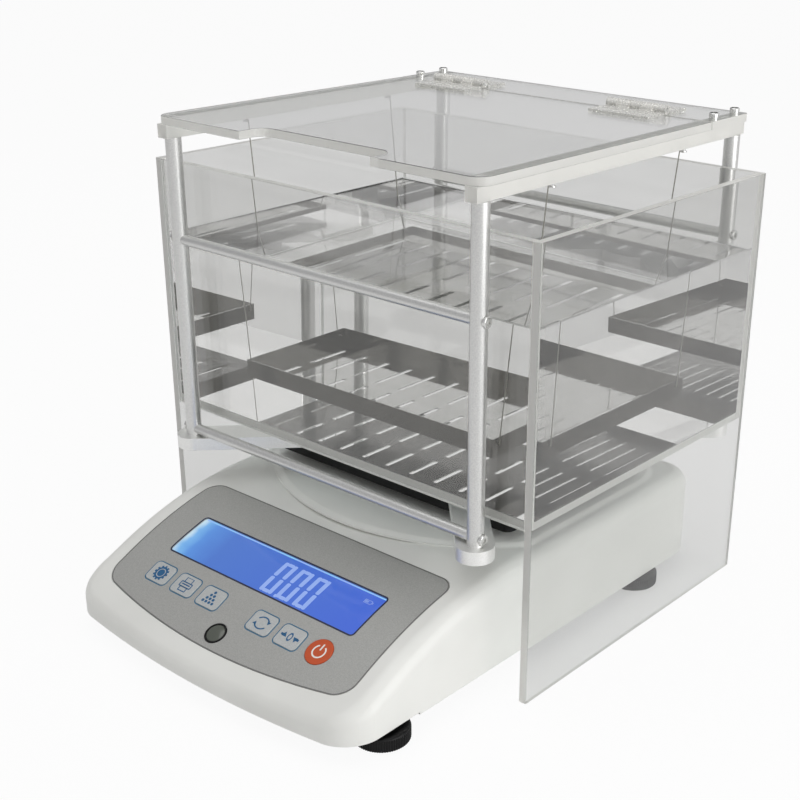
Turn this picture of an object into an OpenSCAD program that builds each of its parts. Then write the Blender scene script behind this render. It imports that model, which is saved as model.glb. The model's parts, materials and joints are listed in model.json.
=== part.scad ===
// Bench density meter: a platform balance, a clear water tank that stands astride it,
// and a weighing frame that hangs a slotted tray in the tank under a hinged clear platform.
// Millimetres. +X is the right-hand side, +Y the back, +Z up. z = 0 is the bench.
// The origin is on the bench, in the middle of the instrument's overall width and depth.

/* [Balance housing] */
// Width of the housing
body_w = 296; // [288:1:304]
// Front face of the housing, in front of the weighing axis
body_front = 286; // [280:1:300]
// Back face of the housing, behind the weighing axis
body_back = 132; // [126:1:138]
// Height of the housing's bottom edge above the bench
body_z0 = 11.5; // [10:0.5:13]
// Height of the bottom edge in front, round the front feet
toe_z = 13.5; // [13:0.5:16]
// Height of the flat top
body_top = 83; // [80:0.5:84.5]
// Width of the rounded shoulder along the sides and back
shoulder_w = 14; // [8:0.5:16]
// Height of the rounded shoulder
shoulder_h = 12; // [8:0.5:16]
// Bow of the front edge, corner to middle
front_bow = 9; // [4:0.5:12]
// Corner radius seen from above
corner_r = 25; // [18:1:30]
// Wall thickness of the moulding
wall_t = 3; // [2.5:0.1:3.5]
// Height of the raised platform in the middle of the top
dais_h = 2; // [1:0.25:2.5]

/* [Keypad] */
// Crest where the top starts to fall to the front, behind the housing's front face
crown_l = 190.5; // [188:0.5:193]
// Height of the ridge where the falling surface meets the front face
ridge_z = 26; // [24:0.5:28]
// Steepest slope, in degrees, from which the surface runs straight to the ridge
crown_end = 26; // [25:0.5:27]
// Keypad's back edge, measured down the surface from the crest
pad_s0 = 51; // [49:0.5:53]
// Width of the keypad sheet
pad_w = 254; // [250:1:258]
// Length of the keypad sheet down the surface
pad_l = 133; // [130:0.5:134]
// Bow of the keypad sheet's front edge
pad_bow = 12; // [6:0.5:14]
// Corner radius of the keypad sheet
pad_r = 13; // [8:0.5:15]
// Thickness of the keypad sheet
pad_t = 1.2; // [1:0.1:1.4]
// Width of the display opening
lcd_w = 193; // [180:1:200]
// Height of the display opening
lcd_h = 39.5; // [36:0.5:41]
// Middle of the display, down the surface from the crest
lcd_s = 108; // [106:0.5:110]
// Width of a key
key_w = 22; // [20:0.5:23]
// Height of a key
key_h = 17; // [15:0.5:18]
// Distance between the middles of neighbouring keys
key_pitch = 28.5; // [27.5:0.25:29.5]
// Row of keys, down the surface from the crest
key_s = 148.5; // [147:0.5:150]
// Diameter of the power key
power_d = 21; // [19:0.5:23]
// Travel of a key
key_travel = 0.4; // [0.3:0.05:0.45]
// Diameter of the level glass
level_d = 17; // [15:0.5:18]
// Level glass, down the surface from the crest
level_s = 170.5; // [170:0.5:171]

/* [Levelling feet] */
// Diameter of a foot knob
knob_d = 40; // [34:1:42]
// Height of a foot knob
knob_h = 10.5; // [9:0.5:11]
// Diameter of a foot's threaded stud
foot_stud_d = 8; // [6:0.5:10]
// Distance of the feet's middles in from the housing's sides
foot_in = 14; // [12:1:20]
// Front feet in front of the weighing axis
foot_front = 231; // [226:1:236]
// Rear feet behind the weighing axis
foot_back = 63; // [56:1:70]

/* [Water tank] */
// Width of the tank over its side panels
tank_w = 368; // [350:1:380]
// Depth of the tank, front to back
tank_d = 276; // [260:1:280]
// Height of the side panels, which stand on the bench
tank_h = 330; // [300:1:336]
// Thickness of the clear sheet
sheet_t = 6; // [5:0.5:7]
// Height of the tank floor's underside
floor_z = 133; // [130:0.5:140]

/* [Weighing frame] */
// Half the distance between the posts, left to right
post_x = 146; // [140:0.5:150]
// Half the distance between the posts, front to back
post_y = 150; // [148:0.5:152]
// Diameter of a post
post_d = 12; // [10:0.5:14]
// Diameter of a cross rod
rod_d = 8; // [6:0.5:9]
// Height of the lower cross rods
rod_low_z = 123; // [122.5:0.25:124]
// Height of the upper cross rods
rod_high_z = 276; // [260:1:300]
// Underside of the spider's arms
spider_z = 108; // [106:0.5:110]
// Thickness of the spider's arms
spider_t = 10; // [8:0.5:11]
// Diameter of a spider arm's round end, under a post
arm_pad_d = 27; // [22:0.5:30]
// Height of the pan support's underside
support_z = 92.5; // [91:0.25:94]
// Thickness of the pan support
support_t = 8; // [6:0.5:9]
// Width of the pan support
support_w = 247; // [230:1:260]
// Depth of the pan support
support_d = 170; // [150:1:180]
// Height of the side rails' underside
rail_z = 352; // [345:0.5:360]
// Side of a square rail
rail_s = 10; // [9:0.5:12]

/* [Top platform] */
// Width of the platform
top_w = 308; // [304:1:312]
// Front edge of the platform in front of the weighing axis
top_front = 159.5; // [158:0.5:162]
// Back edge of the platform behind the weighing axis
top_back = 158; // [157:0.5:162]
// Thickness of the platform
top_t = 6; // [5:0.5:8]
// Hinge line behind the weighing axis
hinge_y = 105; // [95:0.5:108]
// Gap between the lid and the fixed strip
lid_gap = 1; // [0.6:0.1:2]
// Width of the finger recess in the lid's front edge
notch_w = 124; // [90:1:150]
// Depth of the finger recess
notch_d = 22; // [15:0.5:26]
// Width of a hinge
hinge_w = 54; // [40:1:60]
// Distance of the hinges' middles from the middle of the lid
hinge_x = 88; // [75:1:95]

/* [Tray] */
// Width of the tray
tray_w = 249; // [240:1:255]
// Depth of the tray
tray_d = 176; // [170:1:180]
// Height of the tray's rim
tray_rim = 14; // [10:0.5:18]
// Thickness of the tray's sheet
tray_t = 1; // [0.8:0.1:1.5]
// Underside of the tray
tray_z = 160.5; // [155:0.5:175]
// Pitch of the columns of slots
slot_pitch = 24; // [22:0.5:26]
// Number of columns of slots
slot_n = 10; // [8:2:10]
// Width of a slot
slot_w = 4; // [3:0.25:5]
// Half the distance between the hanging wires, front to back
wire_y = 79; // [70:0.5:82]
// Diameter of a hanging wire
wire_d = 0.9; // [0.7:0.05:1.2]

/* [Hidden] */

// Clearances
fit = 0.3;            // between neighbouring parts that never touch
run = 0.05;           // radial clearance of a running fit
eps = 0.01;           // overshoot of a cut
detail = 64;          // facets of a full circle where the interpreter draws one
soft = 32;            // facets of a rounded corner in a hull

// Colours
white = [0.93, 0.93, 0.91];
silver = [0.72, 0.73, 0.74];
steel = [0.60, 0.61, 0.62];
black = [0.08, 0.08, 0.09];
clear = [0.85, 0.93, 0.95, 0.35];
board_green = [0.10, 0.35, 0.20];
blue = [0.20, 0.35, 0.90];
orange = [0.85, 0.30, 0.12];

// Fasteners
screw_d = 4;
screw_bore_d = 4.2;
head_d = 8;
head_h = 3;
plate_screw_d = 3.2;
plate_bore_d = 3.4;
cell_bolt_d = 6;
cell_bolt_bore_d = 6.4;
spot_h = 0.5;         // flat milled on a round post under a screw head
spigot_d = 8;         // foot of a post, in the spider
spigot_short = 0.5;

// Weighing axis behind the origin, which is midway between the front and the back of the whole
axis_y = (body_front - max(top_back, post_y + arm_pad_d / 2)) / 2;

// Derived heights
spider_top = spider_z + spider_t;
arm_w = arm_pad_d - 0.6;
hub_d = 90;           // round middle of the spider
post_h = rail_z - spider_top;
rail_top = rail_z + rail_s;
top_z = rail_top + top_t;
support_top = support_z + support_t;

// Housing
crown_y = body_front - crown_l;
crown_r = (crown_l * tan(crown_end) - body_top + ridge_z) / (1 / cos(crown_end) - 1);
slab = 0.5;           // thickness of the slabs that the housing is drawn between
shoulder_n = 4;       // steps round the shoulder
crown_n = 10;         // steps down the curved surface
crown_arc = crown_r * crown_end * PI / 180;
ridge_s = crown_arc + (body_front - crown_y - crown_r * sin(crown_end)) / cos(crown_end);
corner_s = ridge_s - (front_bow + corner_r) / cos(crown_end);
ridge_round = 3;
relief_y = body_front - 78; // the raised bottom edge starts here, in front of the weighing axis
base_t = 3;
base_top = toe_z + base_t;
base_screw_x = body_w / 2 - 33; // screws that hold the base plate, beside the display and the battery
base_screw_y = [81 - body_front, body_back - 27];
dais_r = 184;         // radius of the platform's bowed front edge
dais_front = 137;
dais_slope = 7;       // width of the platform's sloping edge
dais_corner = 45;
pillar_d = 10;        // pillars for the base plate's screws
foot_x = body_w / 2 - foot_in;
foot_boss_wall = 4;   // wall of the nuts that the studs turn in
foot_boss_h = 12;
plate_head_d = 6;
plate_head_h = 2;
plate_screw_l = 14;

// Load cell stack
cell_l = 150;
cell_block_l = 34;
cell_w = 40;
cell_t = 30;
cell_block_h = 10;
cell_z = base_top + cell_block_h;
cell_top = cell_z + cell_t;
cell_bolt_x = [52, 67];
cell_bolt_l = 12;     // length of the bolts in the cell
cell_head_d = 10;
cell_travel = 0.3;    // travel of the platform at full load
cell_gap = cell_travel + 0.1; // gap between the load cell and the bracket's pad
cell_bore_d = 20;
cell_bore_x = 16;
pad_h = 4;
bracket_z = cell_top + cell_gap + pad_h;
bracket_t = 6;
bracket_w = 130;
bracket_d = 80;
lug_x = 50;
lug_y = 28;
lug_d = 12;
lug_hole_d = 18;

// Keypad stack, measured down from the sheet's face
key_proud = 0.5;
key_cap_t = 1.2;
stem_d = 6;
stem_hole_d = 7;
board_gap = key_travel + 0.4;
key_board_drop = wall_t + 2;
key_board_w = 18;
key_board_edge = 12;  // board beyond the outermost keys' middles
board_spacer_d = 5;
key_xs = [for (k = [-3 : 3]) if (k != 0) k * key_pitch - sign(k) * 1.5];
window_t = 1.5;
window_rim = 3;
window_drop = pad_t + window_t;
module_t = 7;
level_body_d = 14;
level_h = 9;

// Inside the housing
board_t = 1.6;
main_board_w = 140;
main_board_d = 70;
main_board_front = 150; // front edge, in front of the weighing axis
board_post_d = 6;
board_post_h = 8;
board_post_in = 8;    // posts' middles in from the board's edges
chip_s = 24;
chip_h = 3;
relay_w = 16;
relay_d = 30;
relay_h = 8;
chip_in = 20;         // chip and relay in from the board's front edge
battery_side = 18;    // from the housing's side
battery_gap = 7;      // to the load cell
battery_w = body_w / 2 - battery_side - cell_l / 2 - battery_gap;
battery_l = 100;
battery_h = 42;
battery_front = 60;   // in front of the weighing axis

// Sockets in the back wall
socket_z = 30;
jack_x = 90;
jack_d = 10.4;
jack_bore_d = 5.6;
jack_l = 15;
jack_flange_d = 14;
port_x = 50;
port_w = 31;
port_h = 12.4;
port_l = 12;
port_flange_w = 36;
port_flange_h = 16;
port_shell_w = 18;
port_shell_h = 9;
port_proud = 5;

// Feet
stud_h = 26;
stud_z0 = 2;          // floor of the knob's bore
knob_edge = 1;

// Platform
lid_back = hinge_y - lid_gap / 2;
strip_front = hinge_y + lid_gap / 2;
top_r = 12;
top_r_back = 4;
notch_r = 10;
leaf_t = 2;
leaf_l = 22;
knuckle_d = 7;
pin_d = 3;
hinge_z = top_z + knuckle_d / 2 + 0.5;
knuckle_n = 5;
knuckle_gap = 0.4;
knuckle_l = hinge_w / knuckle_n;
stud_head_d = 7.5;
stud_head_h = 4;
stud_pitch = 30;
thread_l = 12;
sunk_h = head_h + 0.5; // depth of a sunk screw head

// Wires
wire_hook_x = tray_w / 2 + 1.2;
wire_hook_drop = 5;
wire_hook_l = 5;      // end of the wire, bent inwards through the tray's hole
wire_screw_x = post_x + 1;
wire_screw_d = 3;
wire_head_d = 5;
wire_head_h = 1;
wire_head_drop = 2.3; // room for the wire between the head and the rail
wire_thread_l = 5;
wire_top_x = wire_screw_x - wire_head_d / 2 - 0.6;
wire_top_z = rail_z - 1.6;
open_hole_d = 2;      // loose hole in the tray for a rear wire
wire_bottom_z = tray_z + tray_rim - wire_hook_drop;

// Tray slots: a long back row and a shorter front row
back_row = [0, 65];
front_row = [-66, -16];

// ---------- outlines and placing ----------

// Points of an arc about c, from angle a0 to a1
function arc_points(c, r, a0, a1, n) =
    [for (i = [0 : n]) c + r * [cos(a0 + (a1 - a0) * i / n), sin(a0 + (a1 - a0) * i / n)]];

// Rounded rectangle whose front edge bows forward by bow; y0 is the middle of the bow
function bowed_outline(w, y0, y1, bow, r, n = 8) = concat(
    arc_points([w / 2 - r, y1 - r], r, 0, 90, n),
    arc_points([-w / 2 + r, y1 - r], r, 90, 180, n),
    arc_points([-w / 2 + r, y0 + bow + r], r, 180, 262, n),
    [for (i = [-7 : 7]) [i / 8 * (w / 2 - r), y0 + bow * pow(i / 8, 2)]],
    arc_points([w / 2 - r, y0 + bow + r], r, 278, 360, n));

// Places a part that is drawn about the weighing axis
module at_axis() {
    translate([0, axis_y, 0]) children();
}

// The falling surface: slope, place and offset point at a distance s from the crest
function fall_a(s) = min(s / crown_r * 180 / PI, crown_end);
function fall_y(s) = crown_y + crown_r * sin(fall_a(s)) + max(0, s - crown_arc) * cos(fall_a(s));
function fall_z(s) = body_top - crown_r * (1 - cos(fall_a(s))) - max(0, s - crown_arc) * sin(fall_a(s));
function fall_point(s, drop) = [-fall_y(s) + drop * sin(fall_a(s)), fall_z(s) - drop * cos(fall_a(s))];

// Outline, in the y-z plane, of a layer under the falling surface from drop0 to drop1
function fall_layer(s1, drop0, drop1) = concat(
    [for (k = [0 : crown_n]) fall_point(k / crown_n * crown_arc, drop0)],
    [fall_point(s1, drop0), fall_point(s1, drop1)],
    [for (k = [crown_n : -1 : 0]) fall_point(k / crown_n * crown_arc, drop1)]);

// Extrudes a y-z outline along x, centred on x = 0
module along_x(w) {
    rotate([90, 0, 90]) linear_extrude(w, center = true) children();
}

// Places a part that is drawn on the falling surface: origin at distance s from the crest,
// -y down the slope, z out of the surface
module on_face(s) {
    at_axis() translate([0, -fall_y(s), fall_z(s)]) rotate([fall_a(s), 0, 0]) children();
}

module four(x, y) {
    for (sx = [-1, 1], sy = [-1, 1]) translate([sx * x, sy * y, 0]) children();
}

// Round bar along X, centred on the origin
module bar_x(d, l) {
    rotate([0, 90, 0]) cylinder(d = d, h = l, center = true, $fn = detail);
}

// ---------- balance ----------

// Solid form of the housing, shrunk all round by inset
module housing_form(inset) {
    r = corner_r - inset;
    hull() {
        for (j = [0 : shoulder_n]) {
            in = shoulder_w * (1 - sin(90 * j / shoulder_n)) + inset;
            drop = shoulder_h * (1 - cos(90 * j / shoulder_n)) + inset;
            w = body_w - 2 * in;
            translate([0, 0, body_top - drop - slab]) linear_extrude(slab)
                polygon(bowed_outline(w, -crown_y, body_back - in, 0, r));
            along_x(w) polygon(fall_layer(corner_s, drop, drop + slab));
        }
        translate([0, 0, body_z0]) linear_extrude(ridge_z - ridge_round - body_z0 - inset / 2)
            polygon(bowed_outline(body_w - 2 * inset, -body_front + inset, body_back - inset, front_bow, r));
        translate([0, 0, ridge_z - inset]) linear_extrude(slab)
            polygon(bowed_outline(body_w - 2 * inset - 2 * ridge_round, -body_front + inset + ridge_round / 2,
                                  -crown_y, front_bow, r));
    }
}

// Outline of the raised platform on the top
module dais_outline(inset) {
    intersection() {
        translate([0, dais_r - dais_front]) circle(r = dais_r - inset, $fn = 2 * detail);
        polygon(bowed_outline(body_w - 2 * shoulder_w - 2 * inset, -dais_front + inset - 10,
                              body_back - shoulder_w - inset, 0, dais_corner - inset));
    }
}

module dais() {
    hull() {
        translate([0, 0, body_top - slab]) linear_extrude(slab) dais_outline(0);
        translate([0, 0, body_top + dais_h - slab]) linear_extrude(slab) dais_outline(dais_slope);
    }
}

module housing() {
    color(white) difference() {
        at_axis() union() {
            housing_form(0);
            dais();
        }
        difference() {
            at_axis() translate([0, 0, -eps]) housing_form(wall_t);
            // pillars that the base plate is screwed to
            at_axis() four_screw_places() cylinder(d = pillar_d, h = body_top, $fn = soft);
        }
        // the side walls reach lower than the front
        at_axis() translate([-body_w, -relief_y - body_front, -eps])
            cube([2 * body_w, body_front, toe_z + eps]);
        at_axis() linear_extrude(base_top) polygon(base_outline(0));
        at_axis() four_screw_places() translate([0, 0, base_top])
            cylinder(d = plate_bore_d, h = plate_screw_l, $fn = detail);
        at_axis() four(lug_x, lug_y) translate([0, 0, body_top - 20])
            cylinder(d = lug_hole_d, h = 40, $fn = detail);
        keypad_recess();
        at_axis() back_sockets();
    }
}

// Outline of the base plate, with a gap to the housing's wall
function base_outline(gap) =
    bowed_outline(body_w - 2 * (wall_t + gap), -body_front + wall_t + gap, body_back - wall_t - gap,
                  front_bow, corner_r - wall_t - gap);

// Places of the four screws that hold the base plate
module four_screw_places() {
    for (sx = [-1, 1], y = base_screw_y) translate([sx * base_screw_x, y, 0]) children();
}

// The keypad sheet's outline as a prism through the falling surface, grown by grow
module sheet_prism(grow) {
    on_face(lcd_s) translate([0, 0, -50]) linear_extrude(100)
        polygon(bowed_outline(pad_w + 2 * grow, lcd_s - pad_s0 - pad_l - grow, lcd_s - pad_s0 + grow,
                              pad_bow, pad_r + grow));
}

// Pocket for the sheet and the openings under it
module keypad_recess() {
    intersection() {
        sheet_prism(fit);
        at_axis() along_x(2 * body_w) polygon(fall_layer(ridge_s, -10, pad_t));
    }
    on_face(lcd_s) cube([lcd_w + 2 * (window_rim + fit), lcd_h + 2 * (window_rim + fit), 6 * wall_t],
                        center = true);
    on_face(key_s) for (x = key_xs)
        translate([x, 0, -4 * wall_t]) cylinder(d = stem_hole_d, h = 5 * wall_t, $fn = detail);
    on_face(level_s) translate([0, 0, -4 * wall_t])
        cylinder(d = level_body_d + 2 * fit, h = 5 * wall_t, $fn = detail);
}

// Openings in the back wall for the power and data sockets
module back_sockets() {
    translate([-jack_x, body_back, socket_z]) rotate([90, 0, 0])
        cylinder(d = jack_d + 2 * fit, h = 4 * wall_t, center = true, $fn = detail);
    translate([-port_x, body_back, socket_z])
        cube([port_w + 2 * fit, 8 * wall_t, port_h + 2 * fit], center = true);
}

module base_plate() {
    color(silver) at_axis() difference() {
        union() {
            translate([0, 0, toe_z]) linear_extrude(base_t) polygon(base_outline(fit));
            foot_places() translate([0, 0, toe_z])
                cylinder(d = foot_stud_d + 2 * foot_boss_wall, h = foot_boss_h, $fn = detail);
        }
        foot_places() cylinder(d = foot_stud_d + 2 * run, h = 40, $fn = detail);
        four_screw_places() translate([0, 0, toe_z - 1])
            cylinder(d = plate_bore_d, h = base_t + 2, $fn = detail);
        for (x = cell_bolt_x) translate([-x, 0, toe_z - 1])
            cylinder(d = cell_bolt_bore_d, h = base_t + 2, $fn = detail);
    }
}

module foot_places() {
    for (sx = [-1, 1], y = [-foot_front, foot_back]) translate([sx * foot_x, y, 0]) children();
}

module housing_screws() {
    color(steel) at_axis() four_screw_places() {
        translate([0, 0, toe_z - plate_head_h]) cylinder(d = plate_head_d, h = plate_head_h, $fn = detail);
        translate([0, 0, toe_z - 1]) cylinder(d = plate_screw_d, h = plate_screw_l, $fn = detail);
    }
}

module keypad_sheet() {
    color(silver) difference() {
        intersection() {
            sheet_prism(0);
            at_axis() along_x(2 * pad_w) polygon(fall_layer(ridge_s, 0, pad_t));
        }
        on_face(lcd_s) cube([lcd_w, lcd_h, 20], center = true);
        on_face(key_s) for (i = [0 : 4]) translate([key_xs[i] - key_w / 2 - fit, -key_h / 2 - fit, -10])
            cube([key_w + 2 * fit, key_h + 2 * fit, 20]);
        on_face(key_s) translate([key_xs[5], 0, -10]) cylinder(d = power_d + 2 * fit, h = 20, $fn = detail);
        on_face(level_s) translate([0, 0, -10]) cylinder(d = level_d + 2 * fit, h = 20, $fn = detail);
    }
}

// Clear window under the sheet, bent to it
module display_window() {
    color(blue) intersection() {
        on_face(lcd_s) cube([lcd_w + 2 * window_rim, lcd_h + 2 * window_rim, 4 * module_t], center = true);
        at_axis() along_x(body_w) polygon(fall_layer(ridge_s, pad_t, window_drop));
    }
}

// Display module with a flat back, against the window
module display_module() {
    color(board_green) intersection() {
        on_face(lcd_s) translate([0, 0, -window_drop - module_t / 2])
            cube([lcd_w, lcd_h, module_t], center = true);
        at_axis() along_x(body_w) polygon(fall_layer(ridge_s, window_drop, 3 * module_t));
    }
}

// Stem of a key, from under its cap to just over the board's contact
module key_stem() {
    translate([0, 0, -key_board_drop + board_gap])
        cylinder(d = stem_d, h = key_board_drop - board_gap, $fn = detail);
}

module square_key(i) {
    color(silver) on_face(key_s) translate([key_xs[i], 0, 0]) {
        translate([-key_w / 2, -key_h / 2, key_proud - key_cap_t]) cube([key_w, key_h, key_cap_t]);
        key_stem();
    }
}

module power_key() {
    color(orange) on_face(key_s) translate([key_xs[5], 0, 0]) {
        translate([0, 0, key_proud - key_cap_t]) cylinder(d = power_d, h = key_cap_t, $fn = detail);
        key_stem();
    }
}

module level_glass() {
    color(black) on_face(level_s) {
        translate([0, 0, -pad_t]) cylinder(d = level_d, h = pad_t + 0.4, $fn = detail);
        translate([0, 0, -level_h]) cylinder(d = level_body_d, h = level_h, $fn = detail);
    }
}

// Board under the keys, with three spacers to the housing
module keypad_board() {
    color(board_green) difference() {
        on_face(key_s) {
            translate([key_xs[0] - key_board_edge, -key_board_w / 2, -key_board_drop - board_t])
                cube([key_xs[5] - key_xs[0] + 2 * key_board_edge, key_board_w, board_t]);
            for (k = [-1 : 1])
                translate([k * (key_xs[5] + key_xs[4]) / 2, board_spacer_d - key_board_w / 2, -key_board_drop])
                    cylinder(d = board_spacer_d, h = key_board_drop - wall_t, $fn = detail);
        }
        on_face(level_s) translate([0, 0, -3 * level_h])
            cylinder(d = level_body_d + 2, h = 4 * level_h, $fn = detail);
    }
}

module main_board() {
    color(board_green) at_axis() {
        bolt_x = main_board_w / 2 - board_post_in;
        board_z = base_top + board_post_h;
        translate([-main_board_w / 2, -main_board_front, board_z]) cube([main_board_w, main_board_d, board_t]);
        for (x = [-bolt_x, bolt_x], y = [board_post_in, main_board_d - board_post_in])
            translate([x, y - main_board_front, base_top])
                cylinder(d = board_post_d, h = board_post_h, $fn = detail);
        translate([-1.2 * chip_s, chip_in - main_board_front, board_z + board_t])
            cube([chip_s, chip_s, chip_h]);
        translate([relay_w, chip_in - main_board_front, board_z + board_t]) cube([relay_w, relay_d, relay_h]);
    }
}

// Single point load cell: fixed at its left end, free at its right end
module load_cell() {
    color(silver) at_axis() difference() {
        translate([-cell_l / 2, -cell_w / 2, cell_z]) cube([cell_l, cell_w, cell_t]);
        for (sx = [-1, 1]) translate([sx * cell_bore_x, 0, cell_z + cell_t / 2]) rotate([90, 0, 0])
            cylinder(d = cell_bore_d, h = cell_w + 2, center = true, $fn = detail);
        translate([-cell_bore_x, -cell_w / 2 - 1, cell_z + cell_t / 2 - 2])
            cube([2 * cell_bore_x, cell_w + 2, 4]);
        for (x = cell_bolt_x) {
            translate([-x, 0, cell_z - 1]) cylinder(d = cell_bolt_bore_d, h = cell_t / 2 + 1, $fn = detail);
            translate([x, 0, cell_top - cell_t / 2]) cylinder(d = cell_bolt_bore_d, h = cell_t, $fn = detail);
        }
    }
}

module cell_block() {
    color(steel) at_axis() difference() {
        translate([-cell_l / 2, -cell_w / 2, base_top]) cube([cell_block_l, cell_w, cell_block_h]);
        for (x = cell_bolt_x) translate([-x, 0, base_top - 1])
            cylinder(d = cell_bolt_bore_d, h = cell_block_h + 2, $fn = detail);
    }
}

// Two bolts up through the base plate and the block into the cell
module cell_screws() {
    color(steel) at_axis() for (x = cell_bolt_x) translate([-x, 0, toe_z - plate_head_h]) {
        cylinder(d = cell_head_d, h = plate_head_h, $fn = detail);
        cylinder(d = cell_bolt_d, h = plate_head_h + base_t + cell_block_h + cell_bolt_l, $fn = detail);
    }
}

// Bracket on the free end of the cell, with four lugs up through the housing
module pan_bracket() {
    color(steel) at_axis() {
        translate([cell_bolt_x[0] - 10, -cell_w / 2, cell_top + cell_gap])
            cube([cell_l / 2 - cell_bolt_x[0] + 10, cell_w, pad_h + eps]);
        translate([-bracket_w / 2, -bracket_d / 2, bracket_z]) cube([bracket_w, bracket_d, bracket_t]);
        four(lug_x, lug_y) translate([0, 0, bracket_z])
            cylinder(d = lug_d, h = support_z - bracket_z, $fn = detail);
    }
}

module battery() {
    color(black) at_axis() translate([battery_side - body_w / 2, -battery_front, base_top])
        cube([battery_w, battery_l, battery_h]);
}

module dc_jack() {
    color(black) at_axis() translate([-jack_x, body_back, socket_z]) rotate([90, 0, 0]) difference() {
        union() {
            translate([0, 0, -1]) cylinder(d = jack_flange_d, h = 1, $fn = detail);
            translate([0, 0, -1]) cylinder(d = jack_d, h = jack_l, $fn = detail);
        }
        translate([0, 0, -2]) cylinder(d = jack_bore_d, h = jack_l - 4, $fn = detail);
    }
}

module serial_port() {
    color(steel) at_axis() translate([-port_x, body_back, socket_z]) difference() {
        union() {
            translate([-port_flange_w / 2, 0, -port_flange_h / 2]) cube([port_flange_w, 1, port_flange_h]);
            translate([-port_w / 2, -port_l, -port_h / 2]) cube([port_w, port_l + eps, port_h]);
            translate([-port_shell_w / 2, -1, -port_shell_h / 2])
                cube([port_shell_w, port_proud + 1, port_shell_h]);
        }
        translate([1 - port_shell_w / 2, 0, 1 - port_shell_h / 2])
            cube([port_shell_w - 2, port_proud + 1, port_shell_h - 2]);
    }
}

// ---------- levelling feet ----------

module foot_stud(sx, y) {
    color(steel) at_axis() translate([sx * foot_x, y, stud_z0 + fit])
        cylinder(d = foot_stud_d, h = stud_h, $fn = detail);
}

module foot_knob(sx, y) {
    color(black) at_axis() translate([sx * foot_x, y, 0]) difference() {
        rotate_extrude($fn = detail) polygon([
            [0, 0], [knob_d / 2 - knob_edge, 0], [knob_d / 2, knob_edge], [knob_d / 2, knob_h - knob_edge],
            [knob_d / 2 - knob_edge, knob_h], [0, knob_h]]);
        translate([0, 0, stud_z0]) cylinder(d = foot_stud_d + 2 * run, h = knob_h, $fn = detail);
    }
}

// ---------- weighing frame ----------

module pan_support() {
    color(black) at_axis() translate([0, 0, support_z]) linear_extrude(support_t)
        polygon(bowed_outline(support_w, -support_d / 2, support_d / 2, 0, 8));
}

module spider() {
    arm_a = atan2(post_y, post_x);
    arm_l = norm([post_x, post_y]);
    color(silver) at_axis() translate([0, 0, spider_z]) linear_extrude(spider_t) difference() {
        union() {
            for (a = [arm_a, -arm_a]) rotate([0, 0, a])
                translate([-arm_l, -arm_w / 2]) square([2 * arm_l, arm_w]);
            four(post_x, post_y) circle(d = arm_pad_d, $fn = detail);
            circle(d = hub_d, $fn = detail);
        }
        four(post_x, post_y) circle(d = spigot_d, $fn = detail);
    }
}

module spider_spacers() {
    spacer_x = 68;
    color(black) at_axis() four(spacer_x, spacer_x * post_y / post_x) translate([0, 0, support_top])
        cylinder(d = 18, h = spider_z - support_top, $fn = detail);
}

// Post: a spigot at its foot, an axial bore at each end and a cross bore at each rod
module post(sx, sy) {
    color(silver) at_axis() translate([sx * post_x, sy * post_y, 0]) difference() {
        union() {
            translate([0, 0, spider_top]) cylinder(d = post_d, h = post_h, $fn = detail);
            translate([0, 0, spider_z + spigot_short])
                cylinder(d = spigot_d, h = spider_t - spigot_short + eps, $fn = detail);
        }
        translate([0, 0, spider_z - 1]) cylinder(d = screw_bore_d, h = spider_t + 2.5, $fn = detail);
        translate([0, 0, rail_z - thread_l - 1]) cylinder(d = screw_bore_d, h = thread_l + 2, $fn = detail);
        for (z = [rod_low_z, rod_high_z]) translate([0, 0, z]) {
            bar_x(screw_bore_d, 2 * post_d);
            translate([sx * (post_d - spot_h), 0, 0]) bar_x(head_d + 2 * fit, post_d);
        }
    }
}

// Cross rod between two posts, its ends cut to the posts and drilled for the screws
module cross_rod(sy, z) {
    color(silver) at_axis() translate([0, sy * post_y, z]) difference() {
        bar_x(rod_d, 2 * post_x);
        for (sx = [-1, 1]) {
            translate([sx * post_x, 0, 0]) cylinder(d = post_d, h = 2 * rod_d, center = true, $fn = detail);
            translate([sx * post_x, 0, 0]) bar_x(screw_bore_d, 60);
        }
    }
}

// Screws through the posts into the rods, up into the posts, and down through the rails' front ends
module frame_screws() {
    color(steel) at_axis() {
        for (sx = [-1, 1], sy = [-1, 1], z = [rod_low_z, rod_high_z])
            translate([sx * (post_x + post_d / 2 - spot_h), sy * post_y, z]) {
                translate([sx * head_h / 2, 0, 0]) bar_x(head_d, head_h);
                translate([-sx * 13, 0, 0]) bar_x(screw_d, 26 + eps);
            }
        four(post_x, post_y) {
            translate([0, 0, spider_z - head_h]) cylinder(d = spigot_d + 4, h = head_h, $fn = detail);
            translate([0, 0, spider_z - 1]) cylinder(d = screw_d, h = spider_t + 2, $fn = detail);
        }
        for (sx = [-1, 1]) translate([sx * post_x, -post_y, rail_top]) {
            translate([0, 0, -sunk_h]) cylinder(d = 7, h = head_h, $fn = detail);
            translate([0, 0, -rail_s - 8]) cylinder(d = screw_d, h = rail_s + 7, $fn = detail);
        }
    }
}

module rail(sx) {
    color(clear) at_axis() difference() {
        translate([sx * post_x - rail_s / 2, -top_front, rail_z])
            cube([rail_s, top_front + top_back, rail_s]);
        for (y = [-post_y, post_y, post_y - stud_pitch])
            translate([sx * post_x, y, rail_z - 1]) cylinder(d = screw_bore_d, h = rail_s + 2, $fn = detail);
        translate([sx * post_x, -post_y, rail_top - sunk_h]) cylinder(d = 7.4, h = 4, $fn = detail);
        for (sy = [-1, 1]) translate([sx * wire_screw_x, sy * wire_y, rail_z - 1])
            cylinder(d = wire_screw_d, h = wire_thread_l + 1.5, $fn = detail);
    }
}

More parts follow.
